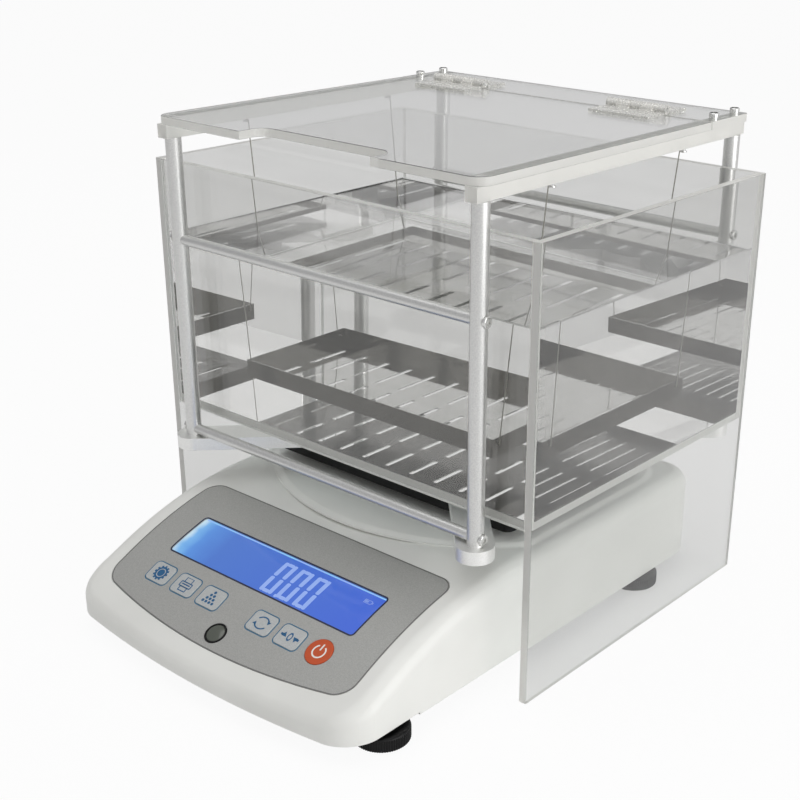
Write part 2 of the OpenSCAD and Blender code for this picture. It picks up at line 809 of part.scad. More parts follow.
// ---------- top platform ----------

function platform_outline(y0, y1, r0, r1) = concat(
    arc_points([top_w / 2 - r1, y1 - r1], r1, 0, 90, 6),
    arc_points([-top_w / 2 + r1, y1 - r1], r1, 90, 180, 6),
    arc_points([-top_w / 2 + r0, y0 + r0], r0, 180, 270, 8),
    arc_points([top_w / 2 - r0, y0 + r0], r0, 270, 360, 8));

module rear_strip() {
    color(clear) at_axis() difference() {
        translate([0, 0, rail_top]) linear_extrude(top_t)
            polygon(platform_outline(strip_front, top_back, 1, top_r_back));
        for (sx = [-1, 1], y = [post_y, post_y - stud_pitch])
            translate([sx * post_x, y, rail_top - 1]) cylinder(d = screw_bore_d, h = top_t + 2, $fn = detail);
    }
}

// Chrome cap studs that hold the strip to the rails; the rear pair go on down into the posts
module cap_studs() {
    color(steel) at_axis() for (sx = [-1, 1], back = [0, 1])
        translate([sx * post_x, post_y - (1 - back) * stud_pitch, top_z]) {
            cylinder(d = stud_head_d, h = stud_head_h, $fn = detail);
            depth = top_t + (back == 1 ? rail_s + thread_l - 1 : rail_s - 1);
            translate([0, 0, -depth]) cylinder(d = screw_d, h = depth + 1, $fn = detail);
        }
}

module lid() {
    color(clear) at_axis() translate([0, 0, rail_top]) linear_extrude(top_t) difference() {
        polygon(platform_outline(-top_front, lid_back, top_r, 1));
        polygon(concat(
            [[-notch_w / 2, -top_front - 10]],
            arc_points([-notch_w / 2 + notch_r, -top_front + notch_d - notch_r], notch_r, 180, 90, 8),
            arc_points([notch_w / 2 - notch_r, -top_front + notch_d - notch_r], notch_r, 90, 0, 8),
            [[notch_w / 2, -top_front - 10]]));
    }
}

// One hinge leaf with the knuckles of the given parity; side is -1 for the lid, 1 for the strip
module hinge_leaf(side, first) {
    plate_w = hinge_w - 0.5;
    reach = knuckle_d / 2 + 1;
    difference() {
        union() {
            translate([-plate_w / 2, side > 0 ? reach : -reach - leaf_l, top_z])
                cube([plate_w, leaf_l, leaf_t]);
            for (k = [first : 2 : knuckle_n - 1])
                translate([-hinge_w / 2 + k * knuckle_l + knuckle_gap / 2, 0, 0]) {
                    translate([0, 0, hinge_z]) rotate([0, 90, 0])
                        cylinder(d = knuckle_d, h = knuckle_l - knuckle_gap, $fn = detail);
                    translate([0, side > 0 ? 0 : -reach - 1, top_z + knuckle_d / 2 - 1])
                        cube([knuckle_l - knuckle_gap, reach + 1, leaf_t]);
                    translate([0, side > 0 ? reach - 1 : -reach - 1, top_z])
                        cube([knuckle_l - knuckle_gap, 2, knuckle_d / 2]);
                }
        }
        translate([0, 0, hinge_z]) bar_x(pin_d + (side > 0 ? 0 : 2 * run), hinge_w + 2);
    }
}

module hinge_leaves(side, first) {
    color(clear) at_axis() for (sx = [-1, 1]) translate([sx * hinge_x, hinge_y, 0])
        hinge_leaf(side, first);
}

module hinge_pins() {
    color(steel) at_axis() for (sx = [-1, 1]) translate([sx * hinge_x, hinge_y, hinge_z])
        bar_x(pin_d, hinge_w);
}

// ---------- tray and wires ----------

module wire_screws() {
    color(steel) at_axis() four(wire_screw_x, wire_y) {
        translate([0, 0, rail_z - wire_head_drop - wire_head_h])
            cylinder(d = wire_head_d, h = wire_head_h, $fn = detail);
        translate([0, 0, rail_z - wire_head_drop - eps])
            cylinder(d = wire_screw_d, h = wire_head_drop + wire_thread_l, $fn = detail);
    }
}

// One wire: from beside the screw's shank, past its head, down to the hook through the tray's end wall
module wire(sx, sy) {
    low = [sx * wire_hook_x, sy * wire_y, wire_bottom_z];
    high = [sx * wire_top_x, sy * wire_y, wire_top_z];
    top_l = wire_screw_x - wire_screw_d / 2 - 0.1 - wire_top_x;
    course = high - low;
    translate(low) rotate([0, atan2(course[0], course[2]), 0])
        cylinder(d = wire_d, h = norm(course), $fn = soft);
    translate(low - [sx * wire_hook_l / 2, 0, 0]) bar_x(wire_d, wire_hook_l);
    translate(high + [sx * top_l / 2, 0, 0]) bar_x(wire_d, top_l);
    for (p = [low, high]) translate(p) sphere(d = 1.3 * wire_d, $fn = soft);
}

module wires(sy) {
    color(steel) at_axis() for (sx = [-1, 1]) wire(sx, sy);
}

// Slot with round ends, from y0 to y1
module slot(y0, y1) {
    translate([0, y0 + slot_w / 2, 0]) cylinder(d = slot_w, h = 6 * tray_t, center = true, $fn = soft);
    translate([0, y1 - slot_w / 2, 0]) cylinder(d = slot_w, h = 6 * tray_t, center = true, $fn = soft);
    translate([-slot_w / 2, y0 + slot_w / 2, -3 * tray_t]) cube([slot_w, y1 - y0 - slot_w, 6 * tray_t]);
}

module tray() {
    inner_w = tray_w - 2 * tray_t;
    inner_d = tray_d - 2 * tray_t;
    color(steel) at_axis() translate([0, 0, tray_z]) difference() {
        translate([-tray_w / 2, -tray_d / 2, 0]) cube([tray_w, tray_d, tray_rim]);
        translate([-inner_w / 2, -inner_d / 2, tray_t]) cube([inner_w, inner_d, tray_rim]);
        for (i = [0 : slot_n - 1]) translate([(i - (slot_n - 1) / 2) * slot_pitch, 0, 0]) {
            slot(back_row[0], back_row[1]);
            slot(front_row[0], front_row[1]);
        }
        for (sy = [-1, 1]) translate([0, sy * wire_y, tray_rim - wire_hook_drop])
            bar_x(sy < 0 ? wire_d + 2 * run : open_hole_d, tray_w + 2);
    }
}

// ---------- water tank ----------

module tank_side(sx) {
    color(clear) at_axis()
        translate([sx > 0 ? tank_w / 2 - sheet_t : -tank_w / 2, -tank_d / 2, 0])
            cube([sheet_t, tank_d, tank_h]);
}

module tank_end(sy) {
    color(clear) at_axis()
        translate([-tank_w / 2 + sheet_t, sy > 0 ? tank_d / 2 - sheet_t : -tank_d / 2, floor_z])
            cube([tank_w - 2 * sheet_t, sheet_t, tank_h - floor_z]);
}

module tank_floor() {
    color(clear) at_axis() translate([-tank_w / 2 + sheet_t, -tank_d / 2 + sheet_t, floor_z])
        cube([tank_w - 2 * sheet_t, tank_d - 2 * sheet_t, sheet_t]);
}

housing();
base_plate();
housing_screws();
keypad_sheet();
display_window();
display_module();
square_key(0);  // set_key
square_key(1);  // print_key
square_key(2);  // enter_key
square_key(3);  // mode_key
square_key(4);  // zero_key
power_key();
level_glass();
keypad_board();
main_board();
load_cell();
cell_block();
cell_screws();
pan_bracket();
battery();
dc_jack();
serial_port();
foot_stud(-1, -foot_front);  // foot_stud_front_left
foot_knob(-1, -foot_front);  // foot_knob_front_left
foot_stud(1, -foot_front);  // foot_stud_front_right
foot_knob(1, -foot_front);  // foot_knob_front_right
foot_stud(-1, foot_back);  // foot_stud_rear_left
foot_knob(-1, foot_back);  // foot_knob_rear_left
foot_stud(1, foot_back);  // foot_stud_rear_right
foot_knob(1, foot_back);  // foot_knob_rear_right
pan_support();
spider();
spider_spacers();
post(-1, -1);  // post_front_left
post(1, -1);  // post_front_right
post(-1, 1);  // post_rear_left
post(1, 1);  // post_rear_right
cross_rod(-1, rod_low_z);  // front_rod_lower
cross_rod(-1, rod_high_z);  // front_rod_upper
cross_rod(1, rod_low_z);  // rear_rod_lower
cross_rod(1, rod_high_z);  // rear_rod_upper
frame_screws();
rail(-1);  // rail_left
rail(1);  // rail_right
rear_strip();
cap_studs();
lid();
hinge_leaves(1, 0);  // hinge_leaves_fixed
hinge_leaves(-1, 1);  // hinge_leaves_lid
hinge_pins();
wire_screws();
wires(-1);  // front_wires
wires(1);  // rear_wires
tray();
tank_side(-1);  // tank_side_left
tank_side(1);  // tank_side_right
tank_end(-1);  // tank_front
tank_end(1);  // tank_back
tank_floor();
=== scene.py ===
import bpy
import bmesh
import json
import math
from mathutils import Matrix, Vector

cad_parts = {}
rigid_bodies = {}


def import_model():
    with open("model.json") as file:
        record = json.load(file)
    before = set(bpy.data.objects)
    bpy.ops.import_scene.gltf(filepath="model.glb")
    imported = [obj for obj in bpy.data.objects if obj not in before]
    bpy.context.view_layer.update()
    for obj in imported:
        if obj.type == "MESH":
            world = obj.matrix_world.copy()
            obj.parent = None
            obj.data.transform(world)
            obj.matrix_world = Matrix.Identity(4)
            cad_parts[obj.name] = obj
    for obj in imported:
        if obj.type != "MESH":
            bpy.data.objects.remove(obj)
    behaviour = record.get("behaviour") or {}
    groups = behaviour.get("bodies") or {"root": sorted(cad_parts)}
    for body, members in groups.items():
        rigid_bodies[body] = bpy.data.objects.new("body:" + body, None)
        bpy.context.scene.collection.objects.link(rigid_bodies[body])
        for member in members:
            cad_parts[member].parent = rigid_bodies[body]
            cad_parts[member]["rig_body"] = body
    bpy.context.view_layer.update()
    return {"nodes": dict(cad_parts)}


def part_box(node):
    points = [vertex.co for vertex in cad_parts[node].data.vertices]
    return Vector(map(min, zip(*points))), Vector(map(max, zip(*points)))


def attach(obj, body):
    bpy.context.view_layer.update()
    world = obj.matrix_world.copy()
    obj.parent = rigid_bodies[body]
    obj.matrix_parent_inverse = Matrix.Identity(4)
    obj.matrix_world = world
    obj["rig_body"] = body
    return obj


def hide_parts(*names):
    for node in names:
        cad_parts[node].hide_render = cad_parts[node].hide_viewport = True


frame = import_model()
print("frame loaded:", len(frame["nodes"]), "nodes")

mm = 0.001
floorLow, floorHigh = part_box("tank_floor")
axisY = (floorLow.y + floorHigh.y) / 2  # the weighing axis; pieces are modelled in mm about it


def hexColour(code):  # sRGB hex to linear RGBA
    parts = [int(code[k:k + 2], 16) / 255 for k in (1, 3, 5)]
    return [c / 12.92 if c <= 0.04045 else ((c + 0.055) / 1.055) ** 2.4 for c in parts] + [1]


def addNode(mat, kind, settings=None, links=None):  # one node with its settings and what feeds it
    node = mat.node_tree.nodes.new("ShaderNode" + kind)  # mat may be the world too
    for key, value in (settings or {}).items():
        if key == "stops":
            ramp = node.color_ramp
            while len(ramp.elements) < len(value):
                ramp.elements.new(0.5)
            for element, (place, colour) in zip(ramp.elements, value):
                element.position, element.color = place, colour
        elif isinstance(key, int) or key in node.inputs:
            node.inputs[key].default_value = value
        else:
            setattr(node, key, value)
    for key, source in (links or {}).items():
        mat.node_tree.links.new(source, node.inputs[key])
    return node


def startMaterial(name, settings):  # a Principled surface with its plain values
    mat = bpy.data.materials.new(name)
    mat.use_nodes = True
    surface = mat.node_tree.nodes["Principled BSDF"]
    for key, value in settings.items():
        surface.inputs[key].default_value = value
    place = addNode(mat, "TexCoord").outputs["Object"]
    return mat, surface, place


def finishSurface(mat, surface, place, traits):  # fine noise in the shades, the roughness and the relief
    for trait, (low, high, grainMm, *pattern) in traits.items():
        stretch, detail = pattern or ((1, 1, 1), 2.0)
        spread = addNode(mat, "Mapping", {"Scale": stretch}, {"Vector": place})
        grain = addNode(mat, "TexNoise", {"Scale": 1 / (grainMm * mm), "Detail": detail},
                        {"Vector": spread.outputs["Vector"]})
        if trait == "shades":  # two near colours
            ramp = addNode(mat, "ValToRGB", {"stops": [(0.35, hexColour(low)), (0.65, hexColour(high))]},
                           {"Fac": grain.outputs["Fac"]})
            mat.node_tree.links.new(ramp.outputs["Color"], surface.inputs["Base Color"])
        elif trait == "rough":  # lowest and highest roughness
            span = {"From Min": 0.3, "From Max": 0.7, "To Min": low, "To Max": high}
            reach = addNode(mat, "MapRange", span, {"Value": grain.outputs["Fac"]})
            mat.node_tree.links.new(reach.outputs["Result"], surface.inputs["Roughness"])
        else:  # relief: its depth in mm and its strength
            bump = addNode(mat, "Bump", {"Distance": low * mm, "Strength": high},
                           {"Height": grain.outputs["Fac"]})
            mat.node_tree.links.new(bump.outputs["Normal"], surface.inputs["Normal"])


def makeMaterial(name, settings, **traits):
    mat, surface, place = startMaterial(name, settings)
    finishSurface(mat, surface, place, traits)
    return mat


def printedInk(name, code):  # screen-printed ink under the film, even and slightly soft; also used for a painted shadow line
    return makeMaterial(name, {"Roughness": 0.4, "Base Color": hexColour(code)}, relief=(0.01, 0.4, 0.6))


def backlitDisplay():  # blue liquid crystal: the lamp at the left end burns it nearly white
    mat, surface, place = startMaterial("backlit blue display", {"Roughness": 0.12, "Emission Strength": 0.78,
                                                                 "Coat Weight": 0.5})
    apart = addNode(mat, "SeparateXYZ", {}, {"Vector": place})
    half = display["width"] / 2 * mm
    along = addNode(mat, "MapRange", {"From Min": -half, "From Max": half}, {"Value": apart.outputs["X"]})
    patches = addNode(mat, "TexNoise", {"Scale": 1 / (16 * mm)}, {"Vector": place})
    cloud = addNode(mat, "Math", {"operation": "MULTIPLY_ADD", 1: 0.06, 2: -0.03},
                    {0: patches.outputs["Fac"]})
    uneven = addNode(mat, "Math", {"operation": "ADD"},
                     {0: along.outputs["Result"], 1: cloud.outputs["Value"]})
    glow = ((0.0, "#d9f0f8"), (0.03, "#74b4ec"), (0.08, "#4a88dc"), (0.2, "#3a68c8"), (1.0, "#3f6ae0"))
    unlit = ((0.0, "#3a5c80"), (1.0, "#101c50"))
    for socket, stops in (("Emission Color", glow), ("Base Color", unlit)):
        ramp = addNode(mat, "ValToRGB", {"stops": [(spot, hexColour(code)) for spot, code in stops]},
                       {"Fac": uneven.outputs["Value"]})
        mat.node_tree.links.new(ramp.outputs["Color"], surface.inputs[socket])
    return mat


def litSegment(name, code, strength):  # a glowing segment that lets the backlight through; also used for a painted highlight
    mat, surface, place = startMaterial(name, {"Roughness": 0.3, "Base Color": hexColour("#0c1640"),
                                               "Emission Strength": strength})
    patches = addNode(mat, "TexNoise", {"Scale": 1 / (9 * mm)}, {"Vector": place})
    ramp = addNode(mat, "ValToRGB", {"stops": [(0.3, hexColour(code)), (0.7, hexColour("#98b4f2"))]},
                   {"Fac": patches.outputs["Fac"]})
    mat.node_tree.links.new(ramp.outputs["Color"], surface.inputs["Emission Color"])
    return mat


def mouldedBlack(name, code, rough, shine=0.2):  # moulded ABS or nylon, fine matt grain
    return makeMaterial(name, {"IOR": 1.53, "Specular IOR Level": shine, "Base Color": hexColour(code)},
                        rough=(rough - 0.06, rough + 0.06, 4), relief=(0.03, 0.5, 0.6))


def satinAluminium(name, rough, low, high):  # bead-blasted and clear anodised: a soft silver grain
    return makeMaterial(name, {"Metallic": 1.0}, shades=(low, high, 0.9),
                        rough=(rough - 0.05, rough + 0.05, 1.1), relief=(0.02, 0.5, 0.7))


def rolledStainless(name, low, high, rough):  # rolled sheet, with the faint lines of its last pass
    alongRoll = ((0.02, 1.0, 1.0), 4.0)  # stretch and detail of its noise
    return makeMaterial(name, {"Metallic": 1.0}, shades=(low, high, 22),
                        rough=(rough - 0.03, rough + 0.03, 0.9, *alongRoll),
                        relief=(0.006, 0.35, 0.9, *alongRoll))


def platedSteel(name, code, rough):  # plated screws and pins, drawn wire
    return makeMaterial(name, {"Metallic": 1.0, "Base Color": hexColour(code)},
                        rough=(rough - 0.05, rough + 0.05, 0.8), relief=(0.006, 0.4, 0.5))


def seeThrough(name, settings, shade, **traits):  # clear plastic or water, which lamps shine through
    mat = makeMaterial(name, settings, **traits)
    nodes = mat.node_tree.nodes
    clear = addNode(mat, "BsdfTransparent", {"Color": hexColour(shade)})
    mix = addNode(mat, "MixShader", {}, {0: addNode(mat, "LightPath").outputs["Is Shadow Ray"],
                                         1: nodes["Principled BSDF"].outputs["BSDF"],
                                         2: clear.outputs["BSDF"]})
    mat.node_tree.links.new(mix.outputs["Shader"], nodes["Material Output"].inputs["Surface"])
    return mat


def solderMask():  # green board with faint traces
    mat, surface, place = startMaterial("green solder mask", {"Roughness": 0.3})
    lines = addNode(mat, "TexBrick", {"Scale": 1 / (9 * mm), "Color1": hexColour("#14502c"),
                                      "Color2": hexColour("#186034"), "Mortar": hexColour("#2a7a48"),
                                      "Mortar Size": 0.03}, {"Vector": place})
    mat.node_tree.links.new(lines.outputs["Color"], surface.inputs["Base Color"])
    finishSurface(mat, surface, place, {"relief": (0.01, 0.4, 0.8)})
    return mat


display = {"width": 193, "height": 39.5, "middle": 108, "corner": 3}

# spark-textured moulding: an even off-white with a fine soft grain
whiteShell = makeMaterial("white moulded ABS", {"IOR": 1.54}, shades=("#e9e9e5", "#eeeeea", 60),
                          rough=(0.36, 0.44, 18), relief=(0.03, 0.35, 0.7))
# printed polyester: matt grey with a trace of metal flake; the keys are embossed in a lighter shade
film = makeMaterial("silver-grey polyester film", {"Metallic": 0.25, "IOR": 1.57},
                    shades=("#a3a3a0", "#b2b2af", 0.8), rough=(0.4, 0.5, 1.2), relief=(0.012, 0.5, 0.6))
keyFilm = makeMaterial("embossed key film", {"Metallic": 0.15, "IOR": 1.57},
                       shades=("#b6b9b9", "#c3c6c6", 0.8), rough=(0.34, 0.44, 1.2), relief=(0.012, 0.5, 0.6))
blueInk = printedInk("blue ink", "#145c8c")
frameInk = printedInk("key outline ink", "#2c6c90")
darkInk = printedInk("display border ink", "#101b3e")
# a grey line along the sheet's edge: painted shadow
sheetEdgeShadow = printedInk("painted shadow along the sheet edge", "#6d6d6c")
orangeInk = printedInk("orange ink", "#c84c10")
whiteInk = printedInk("white ink", "#f3efea")
lcdGlow = backlitDisplay()
lcdDigit = litSegment("lit segment", "#93b0f0", 0.88)
lcdGhost = litSegment("faint segment", "#7c97ee", 0.75)
# painted highlight along the display's top edge, drawn as a glowing strip
lcdTopHighlight = litSegment("painted highlight on the display's top edge", "#8fd0f4", 0.95)
blackAbs = mouldedBlack("black moulded ABS", "#0b0b0c", 0.42)
blackNylon = mouldedBlack("black knurled nylon", "#0a0a0b", 0.36)
levelLens = mouldedBlack("dark level lens", "#565a52", 0.16, 0.5)
anodised = satinAluminium("satin anodised aluminium", 0.34, "#d0d0cf", "#dededc")
blasted = satinAluminium("bead-blasted aluminium", 0.42, "#ececea", "#f4f4f2")
stainless = rolledStainless("polished stainless sheet", "#bebebb", "#c8c8c6", 0.055)
# darker copies of the same stainless: painted shade on the inner walls and on the outside and underside
shadedWallStainless = rolledStainless("stainless sheet, inner walls in painted shade", "#7c7a76", "#878581", 0.09)
shadedOuterStainless = rolledStainless("stainless sheet, outer side in painted shade", "#5a5854", "#65635f", 0.16)
plated = platedSteel("bright plated steel", "#dededc", 0.1)
zinc = platedSteel("zinc-plated steel", "#b4b8ba", 0.3)
wireSteel = platedSteel("drawn steel wire", "#9c9b94", 0.3)
# cast sheet with polished faces, faintly grey in depth
acrylic = seeThrough("clear cast acrylic", {"Transmission Weight": 1.0, "IOR": 1.49, "Roughness": 0.0,
                                            "Base Color": hexColour("#ebebea")}, "#f1f3f3",
                     relief=(0.02, 0.12, 45, (1, 1, 1), 0.0))
# sawn and sanded edge of the sheet: it scatters, so it reads as pale frost
sawnEdge = seeThrough("sanded acrylic edge", {"Transmission Weight": 0.35, "IOR": 1.49,
                                              "Base Color": hexColour("#efeeea")}, "#e8e8e6",
                      rough=(0.35, 0.5, 1.5), relief=(0.02, 0.4, 0.8, (0.2, 0.2, 1.0), 2.0))
# natural nylon hinge: cloudy, softly lit through
nylon = seeThrough("natural nylon", {"Transmission Weight": 0.5, "IOR": 1.53,
                                     "Base Color": hexColour("#f8f7f4")}, "#f0f0ee",
                   rough=(0.2, 0.32, 3), relief=(0.02, 0.2, 6, (1, 1, 1), 0.0))
# clear water, its surface barely moved
water = seeThrough("still water", {"Transmission Weight": 1.0, "IOR": 1.333, "Roughness": 0.0,
                                   "Base Color": hexColour("#fcfcfc")}, "#fbfdfd",
                   relief=(0.05, 0.1, 70, (1, 1, 1), 0.0))
boardGreen = solderMask()
print("materials made")


def addObject(name, data):  # puts a mesh, lamp or camera in the scene
    thing = bpy.data.objects.new(name, data)
    bpy.context.scene.collection.objects.link(thing)
    return thing


def meshFrom(bm, name):  # a mesh in place of the bmesh
    mesh = bpy.data.meshes.new(name)
    bm.to_mesh(mesh)
    bm.free()
    return mesh


def addPiece(name, bm, materials, body, replaced=(), crease=32):
    bmesh.ops.scale(bm, vec=(mm, mm, mm), verts=bm.verts)  # from mm about the weighing axis to the frame
    bmesh.ops.translate(bm, vec=(0, axisY, 0), verts=bm.verts)
    mesh = meshFrom(bm, name)
    for mat in materials:
        mesh.materials.append(mat)
    mesh.shade_smooth()
    mesh.set_sharp_from_angle(angle=math.radians(crease))
    piece = addObject(name, mesh)
    even = piece.modifiers.new("even shading", "WEIGHTED_NORMAL")
    even.keep_sharp = True
    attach(piece, body)
    if replaced:
        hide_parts(*replaced)


def throughModifier(bm, kind, settings):  # runs one modifier over a bmesh
    mesh = meshFrom(bm, "work")
    work = addObject("work", mesh)
    mod = work.modifiers.new("work", kind)
    for key, value in settings.items():
        setattr(mod, key, value)
    result = bmesh.new()
    result.from_object(work, bpy.context.evaluated_depsgraph_get())
    bpy.data.objects.remove(work)
    bpy.data.meshes.remove(mesh)
    return result


def combine(bm, tool, how):  # DIFFERENCE, UNION or INTERSECT of two closed shapes
    mesh = meshFrom(tool, "tool")
    other = addObject("tool", mesh)
    result = throughModifier(bm, "BOOLEAN", {"operation": how, "solver": "EXACT", "object": other})
    bpy.data.objects.remove(other)
    bpy.data.meshes.remove(mesh)
    return result


def join(bm, part, move=None):  # adds the faces of part to bm
    if move is not None:
        bmesh.ops.transform(part, matrix=move, verts=part.verts)
    mesh = meshFrom(part, "part")
    bm.from_mesh(mesh)
    bpy.data.meshes.remove(mesh)


def extrude(bm, faces, move):  # flat faces become a closed block
    out = bmesh.ops.extrude_face_region(bm, geom=faces, use_keep_orig=True)
    bmesh.ops.translate(bm, vec=move, verts=[v for v in out["geom"] if isinstance(v, bmesh.types.BMVert)])
    bmesh.ops.recalc_face_normals(bm, faces=bm.faces)
    return bm


def plate(width, depth, corner, z0, z1, segments=6):  # block with round corners
    bm = bmesh.new()
    signs = ((1, 1), (-1, 1), (-1, -1), (1, -1))
    bm.faces.new([bm.verts.new((sx * width / 2, sy * depth / 2, z0)) for sx, sy in signs])
    if corner > 0:
        bmesh.ops.bevel(bm, geom=bm.verts[:], offset=corner, offset_type="OFFSET", segments=segments,
                        profile=0.5, affect="VERTICES", material=-1)
    return extrude(bm, bm.faces[:], (0, 0, z1 - z0))


def disc(radius, z0, z1, segments=48):  # round block
    bm = bmesh.new()
    bmesh.ops.create_circle(bm, cap_ends=True, segments=segments, radius=radius)
    bmesh.ops.translate(bm, vec=(0, 0, z0), verts=bm.verts)
    return extrude(bm, bm.faces[:], (0, 0, z1 - z0))


def block(low, high):  # box between two corners
    bm = bmesh.new()
    size = Vector(high) - Vector(low)
    bmesh.ops.create_cube(bm, size=1, matrix=Matrix.Translation((Vector(low) + Vector(high)) / 2)
                          @ Matrix.Diagonal((*size, 1)))
    return bm


def ring(outer, inner):  # outer shape less the inner one
    return combine(outer, inner, "DIFFERENCE")


def softenEdges(bm, width, segments=2, angle=30):  # breaks every sharp edge as a file would
    edges = [e for e in bm.edges if len(e.link_faces) == 2 and e.calc_face_angle(0) > math.radians(angle)]
    bmesh.ops.bevel(bm, geom=edges, offset=width, offset_type="OFFSET", segments=segments, profile=0.5,
                    affect="EDGES", clamp_overlap=True, material=-1)
    bmesh.ops.dissolve_degenerate(bm, dist=0.002, edges=bm.edges)
    return bm


def copyNode(node):  # a node's shape as one clean mesh, in mm about the weighing axis
    bm = bmesh.new()
    bm.from_mesh(frame["nodes"][node].data)
    bmesh.ops.remove_doubles(bm, verts=bm.verts, dist=0.005 * mm)
    bmesh.ops.translate(bm, vec=(0, -axisY, 0), verts=bm.verts)
    bmesh.ops.scale(bm, vec=(1 / mm,) * 3, verts=bm.verts)
    bmesh.ops.dissolve_limit(bm, angle_limit=math.radians(0.5), verts=bm.verts, edges=bm.edges)
    return bm


def finishNode(node, bm, materials):  # the dressed shape takes over the node's place and body
    addPiece(node + "_finished", bm, materials, frame["nodes"][node]["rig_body"], [node])


def dressNode(node, mat, soften, segments=2, edge=None, thin=None):  # the node's shape with broken edges
    bm = softenEdges(copyNode(node), soften, segments)
    if edge is not None:  # faces that don't lie along the sheet get the sawn finish
        for face in bm.faces:
            if abs(face.normal[thin]) < 0.5:
                face.material_index = 1
    finishNode(node, bm, [mat] + ([edge] if edge else []))


slope = {"crest": 95.5, "radius": 319, "steepest": math.radians(26), "top": 83}
slope["arc"] = slope["radius"] * slope["steepest"]


def slopePoint(s, lift=0.0):  # y and z at a distance s down from the crest, lift above the surface
    turn = max(0.0, min(s / slope["radius"], slope["steepest"]))
    rest = max(0.0, s - slope["arc"])
    y = slope["crest"] + slope["radius"] * math.sin(turn) + rest * math.cos(turn)
    z = slope["top"] - slope["radius"] * (1 - math.cos(turn)) - rest * math.sin(turn)
    return -y - lift * math.sin(turn), z + lift * math.cos(turn)


def wrap(bm, step=4.0):  # bends a flat shape (x, -distance from the crest, height) onto the surface
    low = min(v.co.y for v in bm.verts)
    high = max(v.co.y for v in bm.verts)
    cut = math.ceil(low / step) * step
    while cut < high:
        if high - low > 2 * step:
            bmesh.ops.bisect_plane(bm, geom=bm.verts[:] + bm.edges[:] + bm.faces[:], plane_co=(0, cut, 0),
                                   plane_no=(0, 1, 0), dist=0.001)
        cut += step
    for v in bm.verts:
        v.co.y, v.co.z = slopePoint(-v.co.y, v.co.z)
    return bm


def shifted(bm, x, y):  # moves a flat shape in its own plane
    bmesh.ops.translate(bm, vec=(x, y, 0), verts=bm.verts)
    return bm


def onPad(bm, x, s):  # moves a flat shape to its place on the keypad, s down from the crest
    return shifted(bm, x, -s)


def bowedBlock(half, front, back, bow, corner, z0, z1):  # block whose front edge bows forward
    bm = bmesh.new()
    spots = [(half, back), (-half, back), (-half, front), (half, front)]
    bm.faces.new([bm.verts.new((x, y, z0)) for x, y in spots])
    bmesh.ops.bevel(bm, geom=bm.verts[:], offset=corner, offset_type="OFFSET", segments=14, profile=0.5,
                    affect="VERTICES", material=-1)
    frontEdges = [e for e in bm.edges if e.calc_length() > half and max(v.co.y for v in e.verts) < front + 1]
    bmesh.ops.subdivide_edges(bm, edges=frontEdges, cuts=17)
    straight = half - corner
    for v in bm.verts:  # the corner carries on the bow's line
        if v.co.y < front + corner + 0.01:
            along = abs(v.co.x) / straight
            v.co.y += bow * (along ** 2 if along < 1 else 2 * along - 1)
    return extrude(bm, bm.faces[:], (0, 0, z1 - z0))


housing = {"half": 148, "front": -286, "back": 132, "bow": 9, "corner": 25, "wall": 3, "sideRound": 13,
           "ridgeRound": 6, "foot": 11.5, "frontFoot": 13.5, "footStep": -208, "steps": 26,
           "dais": 2, "daisSlope": 7, "daisRadius": 184, "daisFront": -137, "daisLead": 10,
           "daisCorner": 45, "daisMargin": 14, "daisRings": 8,
           "displayOpening": (6.6, 2, -10, 3), "stemRoom": 0.5, "levelRoom": 0.3,
           "lugs": (50, 28), "lugHole": 9, "jack": (-90, 30, 5.5), "port": (-50, 30, 16, 6.5),
           "roundSteps": 8, "faceSizes": (17, 11),
           "past": 9, "reach": 90}  # how far cutting shapes stick out beyond the moulding
sheet = {"half": 127, "start": 51, "length": 133, "bow": 12, "corner": 13, "thick": 1.2, "gap": 0.3}
keys = {"row": 148.5, "xs": (-84, -55.5, -27, 27, 55.5), "width": 22, "height": 17, "corner": 3.5,
        "power": 84, "powerRadius": 10.5, "proud": 0.5, "cap": 1.2, "stem": 3, "stemLength": 3.8,
        "mark": 1.12, "room": 0.3, "outlineGap": 0.2, "outline": 0.75}
level = {"row": 170.5, "radius": 8.5, "bodyRadius": 7, "depth": 9, "rim": 1.3, "lip": 0.4, "dome": 0.16,
         "sunk": 0.15}


def around(piece, margin, corner, z0, z1):  # a plate wider and higher than the display or a key
    return plate(piece["width"] + margin, piece["height"] + margin, corner, z0, z1)


def sheetBlock(inset, corner, z0, z1):  # the keypad sheet's bowed form, drawn in by inset
    start, length = sheet["start"], sheet["length"]
    return bowedBlock(sheet["half"] - inset, -start - length + inset, -start - inset, sheet["bow"], corner,
                      z0, z1)


